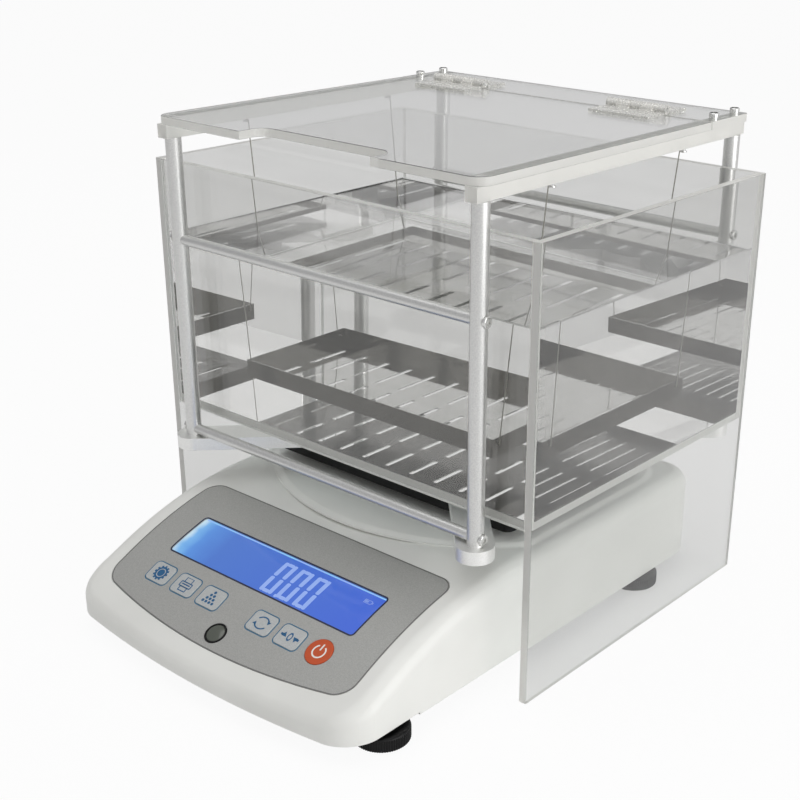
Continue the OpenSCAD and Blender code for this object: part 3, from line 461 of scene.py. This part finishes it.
def housingForm(inset):  # the moulding's outer form, or its hollow when inset by the wall
    h, past = housing, housing["past"]
    below = h["foot"] - (past if inset else 0)
    bm = bmesh.new()
    profile = [(h["back"] + past, below), (h["back"] + past, slope["top"] - inset)]
    profile += [slopePoint(slope["arc"] * k / h["steps"], -inset) for k in range(h["steps"] + 1)]
    low = slopePoint(slope["arc"] + h["reach"], -inset)
    profile += [low, (low[0], below)]
    left = -h["half"] - past
    side = bm.faces.new([bm.verts.new((left, y, max(z, below - past))) for y, z in profile])
    extrude(bm, [side], (-2 * left, 0, 0))
    footprint = bowedBlock(h["half"] - inset, h["front"] + inset, h["back"] - inset, h["bow"],
                           h["corner"] - inset, below - 2, slope["top"] + past)
    bm = combine(bm, footprint, "INTERSECT")
    bmesh.ops.remove_doubles(bm, verts=bm.verts, dist=0.01)
    bmesh.ops.dissolve_limit(bm, angle_limit=math.radians(0.3), verts=bm.verts, edges=bm.edges)
    # a wide soft shoulder along the sides and back, a small radius along the front
    weight = bm.edges.layers.float.new("bevel_weight_edge")
    for edge in bm.edges:
        if len(edge.link_faces) != 2:
            continue
        ups = sorted(abs(f.normal.z) for f in edge.link_faces)
        if ups[0] < 0.05 and ups[1] > 0.5 and edge.verts[0].co.z > h["foot"] + 5:
            wall = min(edge.link_faces, key=lambda f: abs(f.normal.z))
            ahead = max(0.0, -wall.normal.y)
            least = h["ridgeRound"] / h["sideRound"]
            edge[weight] = 1 - (1 - least) * ahead ** 2 * (3 - 2 * ahead)
    bm = throughModifier(bm, "BEVEL", {"limit_method": "WEIGHT", "width": h["sideRound"] - inset,
                                       "segments": h["roundSteps"], "offset_type": "OFFSET",
                                       "profile": 0.5, "use_clamp_overlap": False})
    for axis, step in enumerate(h["faceSizes"]):  # short faces shade evenly
        cut = h["front"] - 4 + step / 2
        while cut < h["half"] + 2:
            across = Vector((0, 0, 0))
            across[axis] = 1
            bmesh.ops.bisect_plane(bm, geom=bm.verts[:] + bm.edges[:] + bm.faces[:], dist=0.0005,
                                   plane_co=across * cut, plane_no=across)
            cut += step
    return bm


def makeHousing():
    h = housing
    bm = combine(housingForm(0), housingForm(h["wall"]), "DIFFERENCE")
    bm = combine(bm, block((-200, -400, 0), (200, h["footStep"], h["frontFoot"])), "DIFFERENCE")
    # raised platform under the weighing frame
    margin = h["daisMargin"]
    dais = bowedBlock(h["half"] - margin, h["daisFront"] - h["daisLead"], h["back"] - margin, 0,
                      h["daisCorner"], slope["top"] - 1, slope["top"] + 0.02)
    bow = disc(h["daisRadius"], slope["top"] - 3, slope["top"] + 3, 160)
    bmesh.ops.translate(bow, vec=(0, h["daisRadius"] + h["daisFront"], 0), verts=bow.verts)
    dais = combine(dais, bow, "INTERSECT")
    dais.faces.ensure_lookup_table()
    top = max(dais.faces, key=lambda f: f.calc_center_median().z)
    rings, before = h["daisRings"], 0.0
    for k in range(1, rings + 1):  # its edge rises in a soft S
        share = k / rings
        height = h["dais"] * (3 * share ** 2 - 2 * share ** 3)
        bmesh.ops.inset_region(dais, faces=[top], thickness=h["daisSlope"] / rings, depth=height - before,
                               use_even_offset=True)
        before = height
    bm = combine(bm, dais, "UNION")
    # keypad recess and the openings under it
    opening = onPad(around(display, *h["displayOpening"]), 0, display["middle"])
    bm = combine(bm, wrap(opening), "DIFFERENCE")
    holes = bmesh.new()
    for x in keys["xs"] + (keys["power"],):
        join(holes, onPad(disc(keys["stem"] + h["stemRoom"], -9, 2, 24), x, keys["row"]))
    join(holes, onPad(disc(level["bodyRadius"] + h["levelRoom"], -12, 2, 32), 0, level["row"]))
    bm = combine(bm, wrap(holes, 1000), "DIFFERENCE")
    recess = sheetBlock(-sheet["gap"], sheet["corner"], -sheet["thick"], 6)
    bm = combine(bm, wrap(recess, 4.3), "DIFFERENCE")  # its bends miss the edges of the holes
    holes = bmesh.new()
    for sx in (-1, 1):
        for sy in (-1, 1):
            join(holes, disc(h["lugHole"], slope["top"] - 13, slope["top"] + h["past"], 32),
                 Matrix.Translation((sx * h["lugs"][0], sy * h["lugs"][1], 0)))
    x, z, r = h["jack"]
    join(holes, disc(r, -h["past"], h["past"], 32),
         Matrix.Translation((x, h["back"], z)) @ Matrix.Rotation(math.pi / 2, 4, "X"))
    x, z, w, t = h["port"]
    join(holes, block((x - w, h["back"] - h["past"], z - t), (x + w, h["back"] + h["past"], z + t)))
    bm = combine(bm, holes, "DIFFERENCE")
    bmesh.ops.remove_doubles(bm, verts=bm.verts, dist=0.002)
    addPiece("housing_moulding", bm, [whiteShell], "balance", ["housing"], crease=28)


makeHousing()
print("housing made")


def makeKeypad():
    corner, bend, middle = sheet["corner"], display["corner"], display["middle"]
    bm = sheetBlock(0, corner, -sheet["thick"], 0)
    cuts = onPad(around(display, 0, bend, -3, 3), 0, middle)
    for x in keys["xs"]:
        join(cuts, onPad(around(keys, 2 * keys["room"], keys["corner"], -3, 3), x, keys["row"]))
    join(cuts, onPad(disc(keys["powerRadius"] + keys["room"], -3, 3), keys["power"], keys["row"]))
    join(cuts, onPad(disc(level["radius"] + keys["room"], -3, 3), 0, level["row"]))
    bm = combine(bm, cuts, "DIFFERENCE")
    addPiece("keypad_film", wrap(bm), [film], "balance", ["keypad_sheet"])
    border = ring(around(display, 1.6, bend + 0.8, -0.05, 0.08), around(display, -1.0, bend - 0.5, -1, 1))
    addPiece("display_border", wrap(onPad(border, 0, middle)), [darkInk], "balance")
    # a grey line just inside the sheet's edge: painted shadow where the sheet meets its recess
    line = ring(sheetBlock(0.1, corner, -0.05, 0.05), sheetBlock(0.9, corner - 0.8, -1, 1))
    addPiece("keypad_edge_shadow", wrap(line), [sheetEdgeShadow], "balance")


digits = {"right": 46.4, "top": 94.4, "bottom": 125.6, "width": 12.7, "pitch": 17, "stroke": 3.7,
          "point": 2.6, "pointX": 16.65, "proud": 0.12, "battery": (84, 97)}


def digitStrokes(height):  # bars of a zero, as (x, y, half width, half height) about its middle
    w, t = digits["width"], digits["stroke"]
    half = height / 2
    bars = [(0, sy * (half - t / 2), w / 2 - t + 0.3, t / 2 - 0.4) for sy in (1, -1)]
    for sx in (-1, 1):
        for sy in (-1, 1):
            bars.append((sx * (w - t) / 2, sy * half / 2, t / 2, half / 2 - 0.5))
    return bars


def makeDisplay():
    lit = -sheet["thick"]
    window = onPad(around(display, 6, 1.5, lit - 1.5, lit), 0, display["middle"])
    addPiece("display_face", wrap(window), [lcdGlow], "balance", ["display_window"])
    upperEdge = display["middle"] - display["height"] / 2
    # a thin glowing strip along the display's upper edge: a painted highlight
    glint = onPad(plate(display["width"] - 4, 1.1, 0.5, lit, lit + 0.2), 0, upperEdge + 1.1)
    addPiece("display_top_glint", wrap(glint), [lcdTopHighlight], "balance")
    height = digits["bottom"] - digits["top"]
    middle = (digits["bottom"] + digits["top"]) / 2
    bm = bmesh.new()
    for k in range(3):
        x0 = digits["right"] - digits["width"] / 2 - (2 - k) * digits["pitch"]
        for x, y, hw, hh in digitStrokes(height):
            bar = shifted(plate(2 * hw, 2 * hh, min(hw, hh) * 0.7, lit, lit + digits["proud"], 3), x, y)
            join(bm, onPad(bar, x0, middle))
    point = plate(digits["point"], digits["point"], 0.6, lit, lit + digits["proud"], 3)
    join(bm, onPad(point, digits["pointX"], digits["bottom"] - 1.2))
    addPiece("display_digits", wrap(bm), [lcdDigit], "balance")
    cell = ring(plate(7, 3.6, 0.5, lit, lit + 0.1), plate(6, 2.6, 0.3, lit - 1, lit + 1))
    join(cell, shifted(plate(0.9, 1.8, 0.2, lit, lit + 0.1), 4.1, 0))
    join(cell, shifted(plate(3.2, 1.8, 0.1, lit, lit + 0.1), -1.2, 0))
    onPad(cell, *digits["battery"])
    addPiece("display_battery_mark", wrap(cell), [lcdGhost], "balance")


def strokeArc(radius, thick, start, end, z0, z1):  # flat arc of a ring, angles in degrees
    bm = bmesh.new()
    along = Vector((math.cos(math.radians(start)), math.sin(math.radians(start)), 0))
    pair = [bm.verts.new(along * r + Vector((0, 0, z0))) for r in (radius - thick / 2, radius + thick / 2)]
    edge = bm.edges.new(pair)
    bmesh.ops.spin(bm, geom=pair + [edge], cent=(0, 0, 0), axis=(0, 0, 1), angle=math.radians(end - start),
                   steps=max(4, int(abs(end - start) / 12)))
    return extrude(bm, bm.faces[:], (0, 0, z1 - z0))


def arrowHead(x, y, turn, size, z0, z1):  # small triangle, turned by an angle in degrees
    bm = bmesh.new()
    bmesh.ops.create_circle(bm, cap_ends=True, segments=3, radius=size)
    bmesh.ops.rotate(bm, cent=(0, 0, 0), matrix=Matrix.Rotation(math.radians(turn), 3, "Z"), verts=bm.verts)
    bmesh.ops.translate(bm, vec=(x, y, z0), verts=bm.verts)
    return extrude(bm, bm.faces[:], (0, 0, z1 - z0))


def keySymbol(kind):  # the printed mark on a key, about the key's middle
    z0, z1 = keys["proud"] - 0.05, keys["proud"] + 0.06
    bm = bmesh.new()
    if kind == "set":  # toothed dial
        join(bm, ring(disc(5.0, z0, z1, 40), disc(3.5, z0 - 1, z1 + 1, 32)))
        join(bm, disc(2.9, z0, z1, 24))
        for k in range(12):
            tooth = plate(1.2, 1.5, 0, z0, z1)
            join(bm, shifted(tooth, 5.4, 0), Matrix.Rotation(math.radians(30 * k), 4, "Z"))
    elif kind == "print":  # printer: paper above, body, sheet below
        frames = ((7, 4.2, 0.4, 0.7, 3.6), (11, 4.6, 1, 0.8, 0), (7, 4.0, 0.4, 0.7, -3.4))
        for w, h, corner, line, y in frames:
            inner = h - (0.8 if y > 0 else 2 * line)
            join(bm, ring(shifted(plate(w, h, corner, z0, z1), 0, y),
                          shifted(plate(w - 2 * line, inner, corner / 2, z0 - 1, z1 + 1), 0, y)))
        join(bm, shifted(plate(7.4, 0.9, 0.2, z0, z1), 0, 0.2))
    elif kind == "enter":  # heap of counted pieces
        for row in range(4):
            for k in range(row + 1):
                join(bm, shifted(disc(1.2, z0, z1, 6), (k - row / 2) * 2.9, 4.4 - 2.7 * row))
    elif kind == "mode":  # two arrows that chase each other
        radius, tip = 5.2, math.radians(24)
        for turn in (0, 180):
            half = strokeArc(radius, 1.1, 30, 150, z0, z1)
            join(half, arrowHead(radius * math.cos(tip), radius * math.sin(tip), -68, 1.9, z0, z1))
            join(bm, half, Matrix.Rotation(math.radians(turn), 4, "Z") @ Matrix.Diagonal((1, 0.85, 1, 1)))
    elif kind == "zero":  # two arrows that point at a ring
        join(bm, strokeArc(2.0, 1.0, 0, 360, z0, z1), Matrix.Diagonal((0.75, 1.3, 1, 1)))
        for side in (-1, 1):
            join(bm, arrowHead(side * 4.7, 0, 0 if side < 0 else 180, 2.4, z0, z1))
            join(bm, shifted(plate(2.4, 1.5, 0, z0, z1), side * 6.4, 0))
    else:  # power mark
        join(bm, strokeArc(5.0, 1.2, 122, 418, z0, z1))
        join(bm, shifted(plate(1.2, 5.4, 0.3, z0, z1), 0, 3.7))
    return bm


def makeKeys():
    top, bottom = keys["proud"], keys["proud"] - keys["cap"]
    row, corner = keys["row"], keys["corner"]
    inner = 2 * keys["outlineGap"]
    outer = inner + 2 * keys["outline"]

    def stemmed(cap):
        join(cap, disc(keys["stem"], bottom - keys["stemLength"] + 0.5, bottom + 0.2, 24))
        return cap

    for kind, x in zip(("set", "print", "enter", "mode", "zero"), keys["xs"]):
        name = kind + "_key"
        cap = stemmed(softenEdges(around(keys, 0, corner, bottom, top), 0.35, 3))
        addPiece(name + "_cap", wrap(onPad(cap, x, row)), [keyFilm], name, [name])
        outline = ring(around(keys, outer, corner + 0.9, -0.05, 0.08),
                       around(keys, inner, corner + 0.2, -1, 1))
        addPiece(name + "_outline", wrap(onPad(outline, x, row)), [frameInk], "balance")
        symbol = keySymbol(kind)
        bmesh.ops.scale(symbol, vec=(keys["mark"], keys["mark"], 1), verts=symbol.verts)
        addPiece(name + "_symbol", wrap(onPad(symbol, x, row)), [blueInk], name)
    cap = onPad(stemmed(softenEdges(disc(keys["powerRadius"], bottom, top), 0.4, 3)), keys["power"], row)
    addPiece("power_key_cap", wrap(cap), [orangeInk], "power_key", ["power_key"])
    symbol = onPad(keySymbol("power"), keys["power"], row)
    addPiece("power_key_symbol", wrap(symbol), [whiteInk], "power_key")


def makeLevel():  # round spirit level: black collar, domed lens
    inner = level["radius"] - level["rim"]
    collar = ring(disc(level["radius"], -sheet["thick"], level["lip"]), disc(inner, -0.2, 2))
    join(collar, disc(level["bodyRadius"], -level["depth"], -sheet["thick"] + 0.1))
    addPiece("level_collar", wrap(onPad(softenEdges(collar, 0.2), 0, level["row"])), [blackAbs], "balance",
             ["level_glass"])
    bm = bmesh.new()
    bmesh.ops.create_uvsphere(bm, u_segments=40, v_segments=20, radius=inner - 0.05)
    bmesh.ops.scale(bm, vec=(1, 1, level["dome"]), verts=bm.verts)
    bmesh.ops.translate(bm, vec=(0, 0, -level["sunk"]), verts=bm.verts)
    addPiece("level_lens", wrap(onPad(bm, 0, level["row"]), 50), [levelLens], "balance",
             crease=80)


makeKeypad()
makeDisplay()
makeKeys()
makeLevel()
print("keypad made")

knob = {"radius": 20, "height": 10.5, "flutes": 72, "fluteDepth": 0.5, "bore": 4.05, "boreFloor": 2}


def turned(profile, steps):  # closed turned solid; its (radius, height) points start and end on the axis
    bm = bmesh.new()
    spots = [bm.verts.new((radius, 0, z)) for radius, z in profile]
    lines = [bm.edges.new(pair) for pair in zip(spots, spots[1:])]
    bmesh.ops.spin(bm, geom=spots + lines, cent=(0, 0, 0), axis=(0, 0, 1), angle=2 * math.pi, steps=steps,
                   use_merge=True)
    bmesh.ops.remove_doubles(bm, verts=bm.verts, dist=0.001)
    bmesh.ops.recalc_face_normals(bm, faces=bm.faces)
    return bm


def makeKnob(name, x, y):  # knurled round foot with a bore for its stud
    r, h, bore = knob["radius"], knob["height"], knob["bore"]
    rim = [(0, 0), (r - 6, 0), (r - 1, 0), (r - 0.25, 0.3), (r, 1), (r, h - 1.8), (r - 0.25, h - 1.2),
           (r - 1.2, h - 0.4), (r - 2.4, h), (r - 6, h), (r - 6.6, h - 0.8)]
    boss = [(bore + 3.2, h - 0.8), (bore + 2.6, h), (bore + 0.3, h), (bore, h - 0.3),
            (bore, knob["boreFloor"]), (0, knob["boreFloor"])]
    bm = turned(rim + boss, 2 * knob["flutes"])
    for v in bm.verts:  # the flutes
        flat = Vector((v.co.x, v.co.y, 0))
        turn = round(math.atan2(v.co.y, v.co.x) / math.pi * knob["flutes"])
        if flat.length > r - 0.6 and turn % 2:
            v.co -= flat.normalized() * knob["fluteDepth"]
    bmesh.ops.translate(bm, vec=(x, y, 0), verts=bm.verts)
    addPiece(name + "_knurled", bm, [blackNylon], name, [name], crease=40)


for side in ("left", "right"):
    for end in ("front", "rear"):
        name = "foot_knob_" + end + "_" + side
        low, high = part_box(name)
        makeKnob(name, (low.x + high.x) / 2 / mm, ((low.y + high.y) / 2 - axisY) / mm)
print("feet made")

tray = {"soften": 0.3, "skin": 0.5, "floorDepth": 3}


def makeTray():  # bright floor; inner walls, outside and underside in darker copies of the stainless as painted shade, the outside also duller
    bm = softenEdges(copyNode("tray"), tray["soften"])
    halves = [max(abs(v.co[axis]) for v in bm.verts) for axis in (0, 1)]
    wallsFrom = min(v.co.z for v in bm.verts) + tray["floorDepth"]
    for face in bm.faces:
        spot = face.calc_center_median()
        if face.normal.z < -0.5 or any(abs(spot[axis]) > halves[axis] - tray["skin"] for axis in (0, 1)):
            face.material_index = 1
        elif abs(face.normal.z) < 0.5 and spot.z > wallsFrom:
            face.material_index = 2
    finishNode("tray", bm, [stainless, shadedOuterStainless, shadedWallStainless])


for node in ("post_front_left", "post_front_right", "post_rear_left", "post_rear_right",
             "front_rod_lower", "front_rod_upper", "rear_rod_lower", "rear_rod_upper"):
    dressNode(node, anodised, 0.25)
dressNode("spider", blasted, 0.8, 3)
dressNode("spider_spacers", blackAbs, 0.4)
dressNode("pan_support", blackAbs, 1.0, 3)
for node in ("rail_left", "rail_right"):
    dressNode(node, sawnEdge, 0.35)
dressNode("rear_strip", acrylic, 0.35, 2, sawnEdge, 2)
dressNode("lid", acrylic, 0.5, 3, sawnEdge, 2)
dressNode("hinge_leaves_fixed", nylon, 0.4)
dressNode("hinge_leaves_lid", nylon, 0.4)
makeTray()


def screwHead(radius, height, socket, segments=32):  # round head with a driver's socket, on z = 0
    bm = disc(radius, 0, height, segments)
    top = max(bm.faces, key=lambda f: f.calc_center_median().z)
    bmesh.ops.inset_region(bm, faces=[top], thickness=radius - socket, depth=0.0)
    bmesh.ops.inset_region(bm, faces=[top], thickness=0.15, depth=-height * 0.55)
    rim = [e for e in bm.edges if all(abs(v.co.z - height) < 0.01 for v in e.verts)
           and e.verts[0].co.length_squared > (radius - 0.1) ** 2 and e.verts[1].co.xy.length > radius - 0.1]
    bmesh.ops.bevel(bm, geom=rim, offset=height * 0.25, offset_type="OFFSET", segments=4, profile=0.5,
                    affect="EDGES", material=-1)
    return bm


post = {"x": 146, "y": 150, "radius": 6, "flat": 0.5}
# heads are (radius, height, socket radius), shanks (radius, from, to)
screws = {"rod": (4, 2.6, 1.7), "rodHeights": (123, 276), "foot": (6, 3, 2), "spiderFoot": 108,
          "rail": (3.5, 3, 1.5), "railSeat": 358.5, "railShank": (2, 344, 358.6),
          "cap": (3.75, 4, 1.6), "stripTop": 368, "caps": ((150, 27), (120, 15)), "capShank": 2,
          "wire": (2.5, 348.7, 349.7), "wireShank": (1.5, 349.5, 357), "wireX": 147, "wireY": 79}


def makeScrews():
    bm = bmesh.new()
    for sx in (-1, 1):
        for sy in (-1, 1):
            outside = sx * (post["x"] + post["radius"] - post["flat"])
            for z in screws["rodHeights"]:
                join(bm, screwHead(*screws["rod"]), Matrix.Translation((outside, sy * post["y"], z))
                     @ Matrix.Rotation(sx * math.pi / 2, 4, "Y"))
            below = Matrix.Translation((sx * post["x"], sy * post["y"], screws["spiderFoot"]))
            join(bm, screwHead(*screws["foot"]), below @ Matrix.Rotation(math.pi, 4, "X"))
        front = Matrix.Translation((sx * post["x"], -post["y"], 0))
        join(bm, screwHead(*screws["rail"]), front @ Matrix.Translation((0, 0, screws["railSeat"])))
        join(bm, disc(*screws["railShank"], 24), front)
    addPiece("frame_screw_heads", bm, [plated], "weighing_frame", ["frame_screws"])
    bm = bmesh.new()
    top = screws["stripTop"]
    for sx in (-1, 1):
        for y, down in screws["caps"]:
            place = Matrix.Translation((sx * post["x"], y, 0))
            join(bm, screwHead(*screws["cap"]), place @ Matrix.Translation((0, 0, top)))
            join(bm, disc(screws["capShank"], top - down, top + 0.1, 24), place)
    addPiece("strip_cap_screws", bm, [plated], "weighing_frame", ["cap_studs"])
    bm = bmesh.new()
    for sx in (-1, 1):
        for sy in (-1, 1):
            head = softenEdges(disc(*screws["wire"], 32), 0.3)
            join(head, disc(*screws["wireShank"], 24))
            join(bm, head, Matrix.Translation((sx * screws["wireX"], sy * screws["wireY"], 0)))
    addPiece("wire_screws_turned", bm, [plated], "weighing_frame", ["wire_screws"])


makeScrews()
print("frame made")

tank = {"join": 0.1, "soften": 0.35, "waterGap": 0.3, "waterTop": 272.3,
        "climb": ((0.5, 0.75), (0.7, 0.45), (0.8, 0.25), (1.0, 0.15))}


def makeTank():
    for node, thin in (("tank_side_left", 0), ("tank_side_right", 0), ("tank_front", 1), ("tank_back", 1),
                       ("tank_floor", 2)):
        bm = copyNode(node)
        if thin:  # a hair of room at the cemented joints
            for v in bm.verts:
                v.co.x -= math.copysign(tank["join"], v.co.x)
                if thin == 2:
                    v.co.y -= math.copysign(tank["join"], v.co.y)
        softenEdges(bm, tank["soften"], 2)
        for face in bm.faces:  # the sheets' edges are machined, their faces polished
            face.material_index = int(abs(face.normal[thin]) < 0.5)
        addPiece(node + "_sheet", bm, [acrylic, sawnEdge], "tank", [node])
    low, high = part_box("tank_side_left")
    thick = (high.x - low.x) / mm
    inX, inY = -low.x / mm - thick, (high.y - low.y) / 2 / mm - thick
    gap, z1 = tank["waterGap"], floorHigh.z / mm
    brim = tank["waterTop"] + sum(drop for inward, drop in tank["climb"])
    bm = block((-inX + gap, -inY + gap, z1 + gap), (inX - gap, inY - gap, brim))
    top = max(bm.faces, key=lambda f: f.calc_center_median().z)
    for inward, drop in tank["climb"]:  # the water climbs the walls a little
        bmesh.ops.inset_region(bm, faces=[top], thickness=inward, depth=-drop)
    addPiece("tank_water", bm, [water], "tank", crease=60)


makeTank()
print("tank made")

for node, mat in (("base_plate", zinc), ("housing_screws", zinc), ("display_module", blackAbs),
                  ("keypad_board", boardGreen), ("main_board", boardGreen), ("load_cell", blasted),
                  ("cell_block", blasted), ("cell_screws", zinc), ("pan_bracket", blasted),
                  ("battery", blackAbs), ("dc_jack", blackAbs), ("serial_port", zinc),
                  ("hinge_pins", plated), ("front_wires", wireSteel), ("rear_wires", wireSteel),
                  ("foot_stud_front_left", zinc), ("foot_stud_front_right", zinc),
                  ("foot_stud_rear_left", zinc), ("foot_stud_rear_right", zinc)):
    for spot in frame["nodes"][node].material_slots:  # these keep their own mesh
        spot.material = mat


def makeStage():
    bm = bmesh.new()
    bmesh.ops.create_grid(bm, x_segments=1, y_segments=1, size=studio["floorSize"])
    mesh = meshFrom(bm, "studio floor")
    ground = addObject("studio floor", mesh)
    ground.location.z = -studio["floorGap"]
    mat, surface, _ = startMaterial("white paper floor", {"Base Color": hexColour("#f2f2f2"),
                                                          "Roughness": 0.9})
    path = addNode(mat, "LightPath")
    through = addNode(mat, "Math", {"operation": "MULTIPLY", 1: studio["floorThroughSheet"]},
                      {0: path.outputs["Is Transmission Ray"]})
    mirrored = addNode(mat, "Math", {"operation": "MULTIPLY_ADD", 1: studio["floorMirrored"]},
                       {0: path.outputs["Is Glossy Ray"], 2: through.outputs["Value"]})
    share = addNode(mat, "Math", {"operation": "MULTIPLY_ADD", 1: studio["floor"]},
                    {0: path.outputs["Is Camera Ray"], 2: mirrored.outputs["Value"]})
    glow = addNode(mat, "Emission", {"Color": (1, 1, 1, 1), "Strength": 1.0})
    mix = addNode(mat, "MixShader", {}, {0: share.outputs["Value"], 1: surface.outputs["BSDF"],
                                         2: glow.outputs["Emission"]})
    mat.node_tree.links.new(mix.outputs["Shader"], mat.node_tree.nodes["Material Output"].inputs["Surface"])
    mesh.materials.append(mat)


def makeWorld():  # white behind the object and in what it mirrors, darker on the left, away from the lamp
    world = bpy.data.worlds.new("studio")
    bpy.context.scene.world = world
    world.use_nodes = True
    tree = world.node_tree
    ambient = tree.nodes["Background"]
    ambient.inputs["Strength"].default_value = studio["ambient"]
    ambient.inputs["Color"].default_value = (1, 1, 1, 1)
    white = addNode(world, "Background", {"Color": (1, 1, 1, 1), "Strength": 1.0})
    apart = addNode(world, "SeparateXYZ", {}, {"Vector": addNode(world, "TexCoord").outputs["Generated"]})
    dimFrom, dimTo = studio["dimReach"]
    across = addNode(world, "MapRange", {"From Min": dimFrom, "From Max": dimTo},
                     {"Value": apart.outputs["X"]})
    shade = addNode(world, "ValToRGB", {"stops": [(0.0, hexColour(studio["dimSide"])), (1.0, (1, 1, 1, 1))]},
                    {"Fac": across.outputs["Result"]})
    room = addNode(world, "Background", {"Strength": 1.0}, {"Color": shade.outputs["Color"]})
    path = addNode(world, "LightPath")
    seen = addNode(world, "Math", {"operation": "MAXIMUM"}, {0: path.outputs["Is Camera Ray"],
                                                             1: path.outputs["Is Transmission Ray"]})
    first = addNode(world, "MixShader", {}, {0: path.outputs["Is Glossy Ray"],
                                             1: ambient.outputs["Background"],
                                             2: room.outputs["Background"]})
    last = addNode(world, "MixShader", {}, {0: seen.outputs["Value"], 1: first.outputs["Shader"],
                                            2: white.outputs["Background"]})
    tree.links.new(last.outputs["Shader"], tree.nodes["World Output"].inputs["Surface"])


def addLamp(name, place, aim, size, power):  # a softbox that faces aim
    lamp = bpy.data.lights.new(name, "AREA")
    lamp.shape = "RECTANGLE"
    lamp.size, lamp.size_y, lamp.energy = size[0], size[1], power
    holder = addObject(name, lamp)
    holder.location = place
    holder.rotation_mode = "QUATERNION"
    holder.rotation_quaternion = (Vector(aim) - Vector(place)).to_track_quat("-Z", "Y")
    holder.visible_camera = holder.visible_transmission = False  # lamps don't show through the sheets


# floor: the share of plain white glow that each kind of ray sees in it
studio = {"ambient": 0.5, "dimSide": "#a8a8aa", "dimReach": (-0.9, 0.6), "floor": 0.93,
          "floorMirrored": 0.35, "floorThroughSheet": 0.12, "floorSize": 6, "floorGap": 0.0005,
          "lamps": (("right softbox", (1.6, 0.1, 0.55), (0, 0, 0.12), (1.2, 1.0), 11),
                    ("overhead softbox", (-0.2, -0.2, 1.9), (0, 0, 0.1), (1.4, 1.4), 9))}
camera = {"azimuth": 39.36, "elevation": 23.72, "roll": 0.97, "distance": 1115.03, "aim": (24.8, 0, 96.55),
          "lens": 61.98, "sensor": 36, "shiftX": -0.0985, "shiftY": 0.0726, "clip": (0.05, 50)}


def makeCamera():
    a, e, r = (math.radians(camera[k]) for k in ("azimuth", "elevation", "roll"))
    back = Vector((math.sin(a) * math.cos(e), -math.cos(a) * math.cos(e), math.sin(e)))
    right = Vector((math.cos(a), math.sin(a), 0))
    up = back.cross(right)
    imageRight = right * math.cos(r) + up * math.sin(r)
    imageUp = up * math.cos(r) - right * math.sin(r)
    lens = bpy.data.cameras.new("camera")
    lens.lens, lens.sensor_width = camera["lens"], camera["sensor"]
    lens.shift_x, lens.shift_y = camera["shiftX"], camera["shiftY"]
    lens.clip_start, lens.clip_end = camera["clip"]
    holder = addObject("camera", lens)
    turn = Matrix((imageRight, imageUp, back)).transposed().to_4x4()
    holder.matrix_world = Matrix.Translation((Vector(camera["aim"]) + back * camera["distance"]) * mm
                                             + Vector((0, axisY, 0))) @ turn
    bpy.context.scene.camera = holder


makeStage()
makeWorld()
for lampName, place, aim, size, power in studio["lamps"]:
    addLamp(lampName, place, aim, size, power)
makeCamera()
scene = bpy.context.scene
scene.view_settings.view_transform = "Standard"
scene.cycles.max_bounces = 32
scene.cycles.transmission_bounces = 28
scene.cycles.glossy_bounces = 12
scene.cycles.transparent_max_bounces = 24
print("stage made")
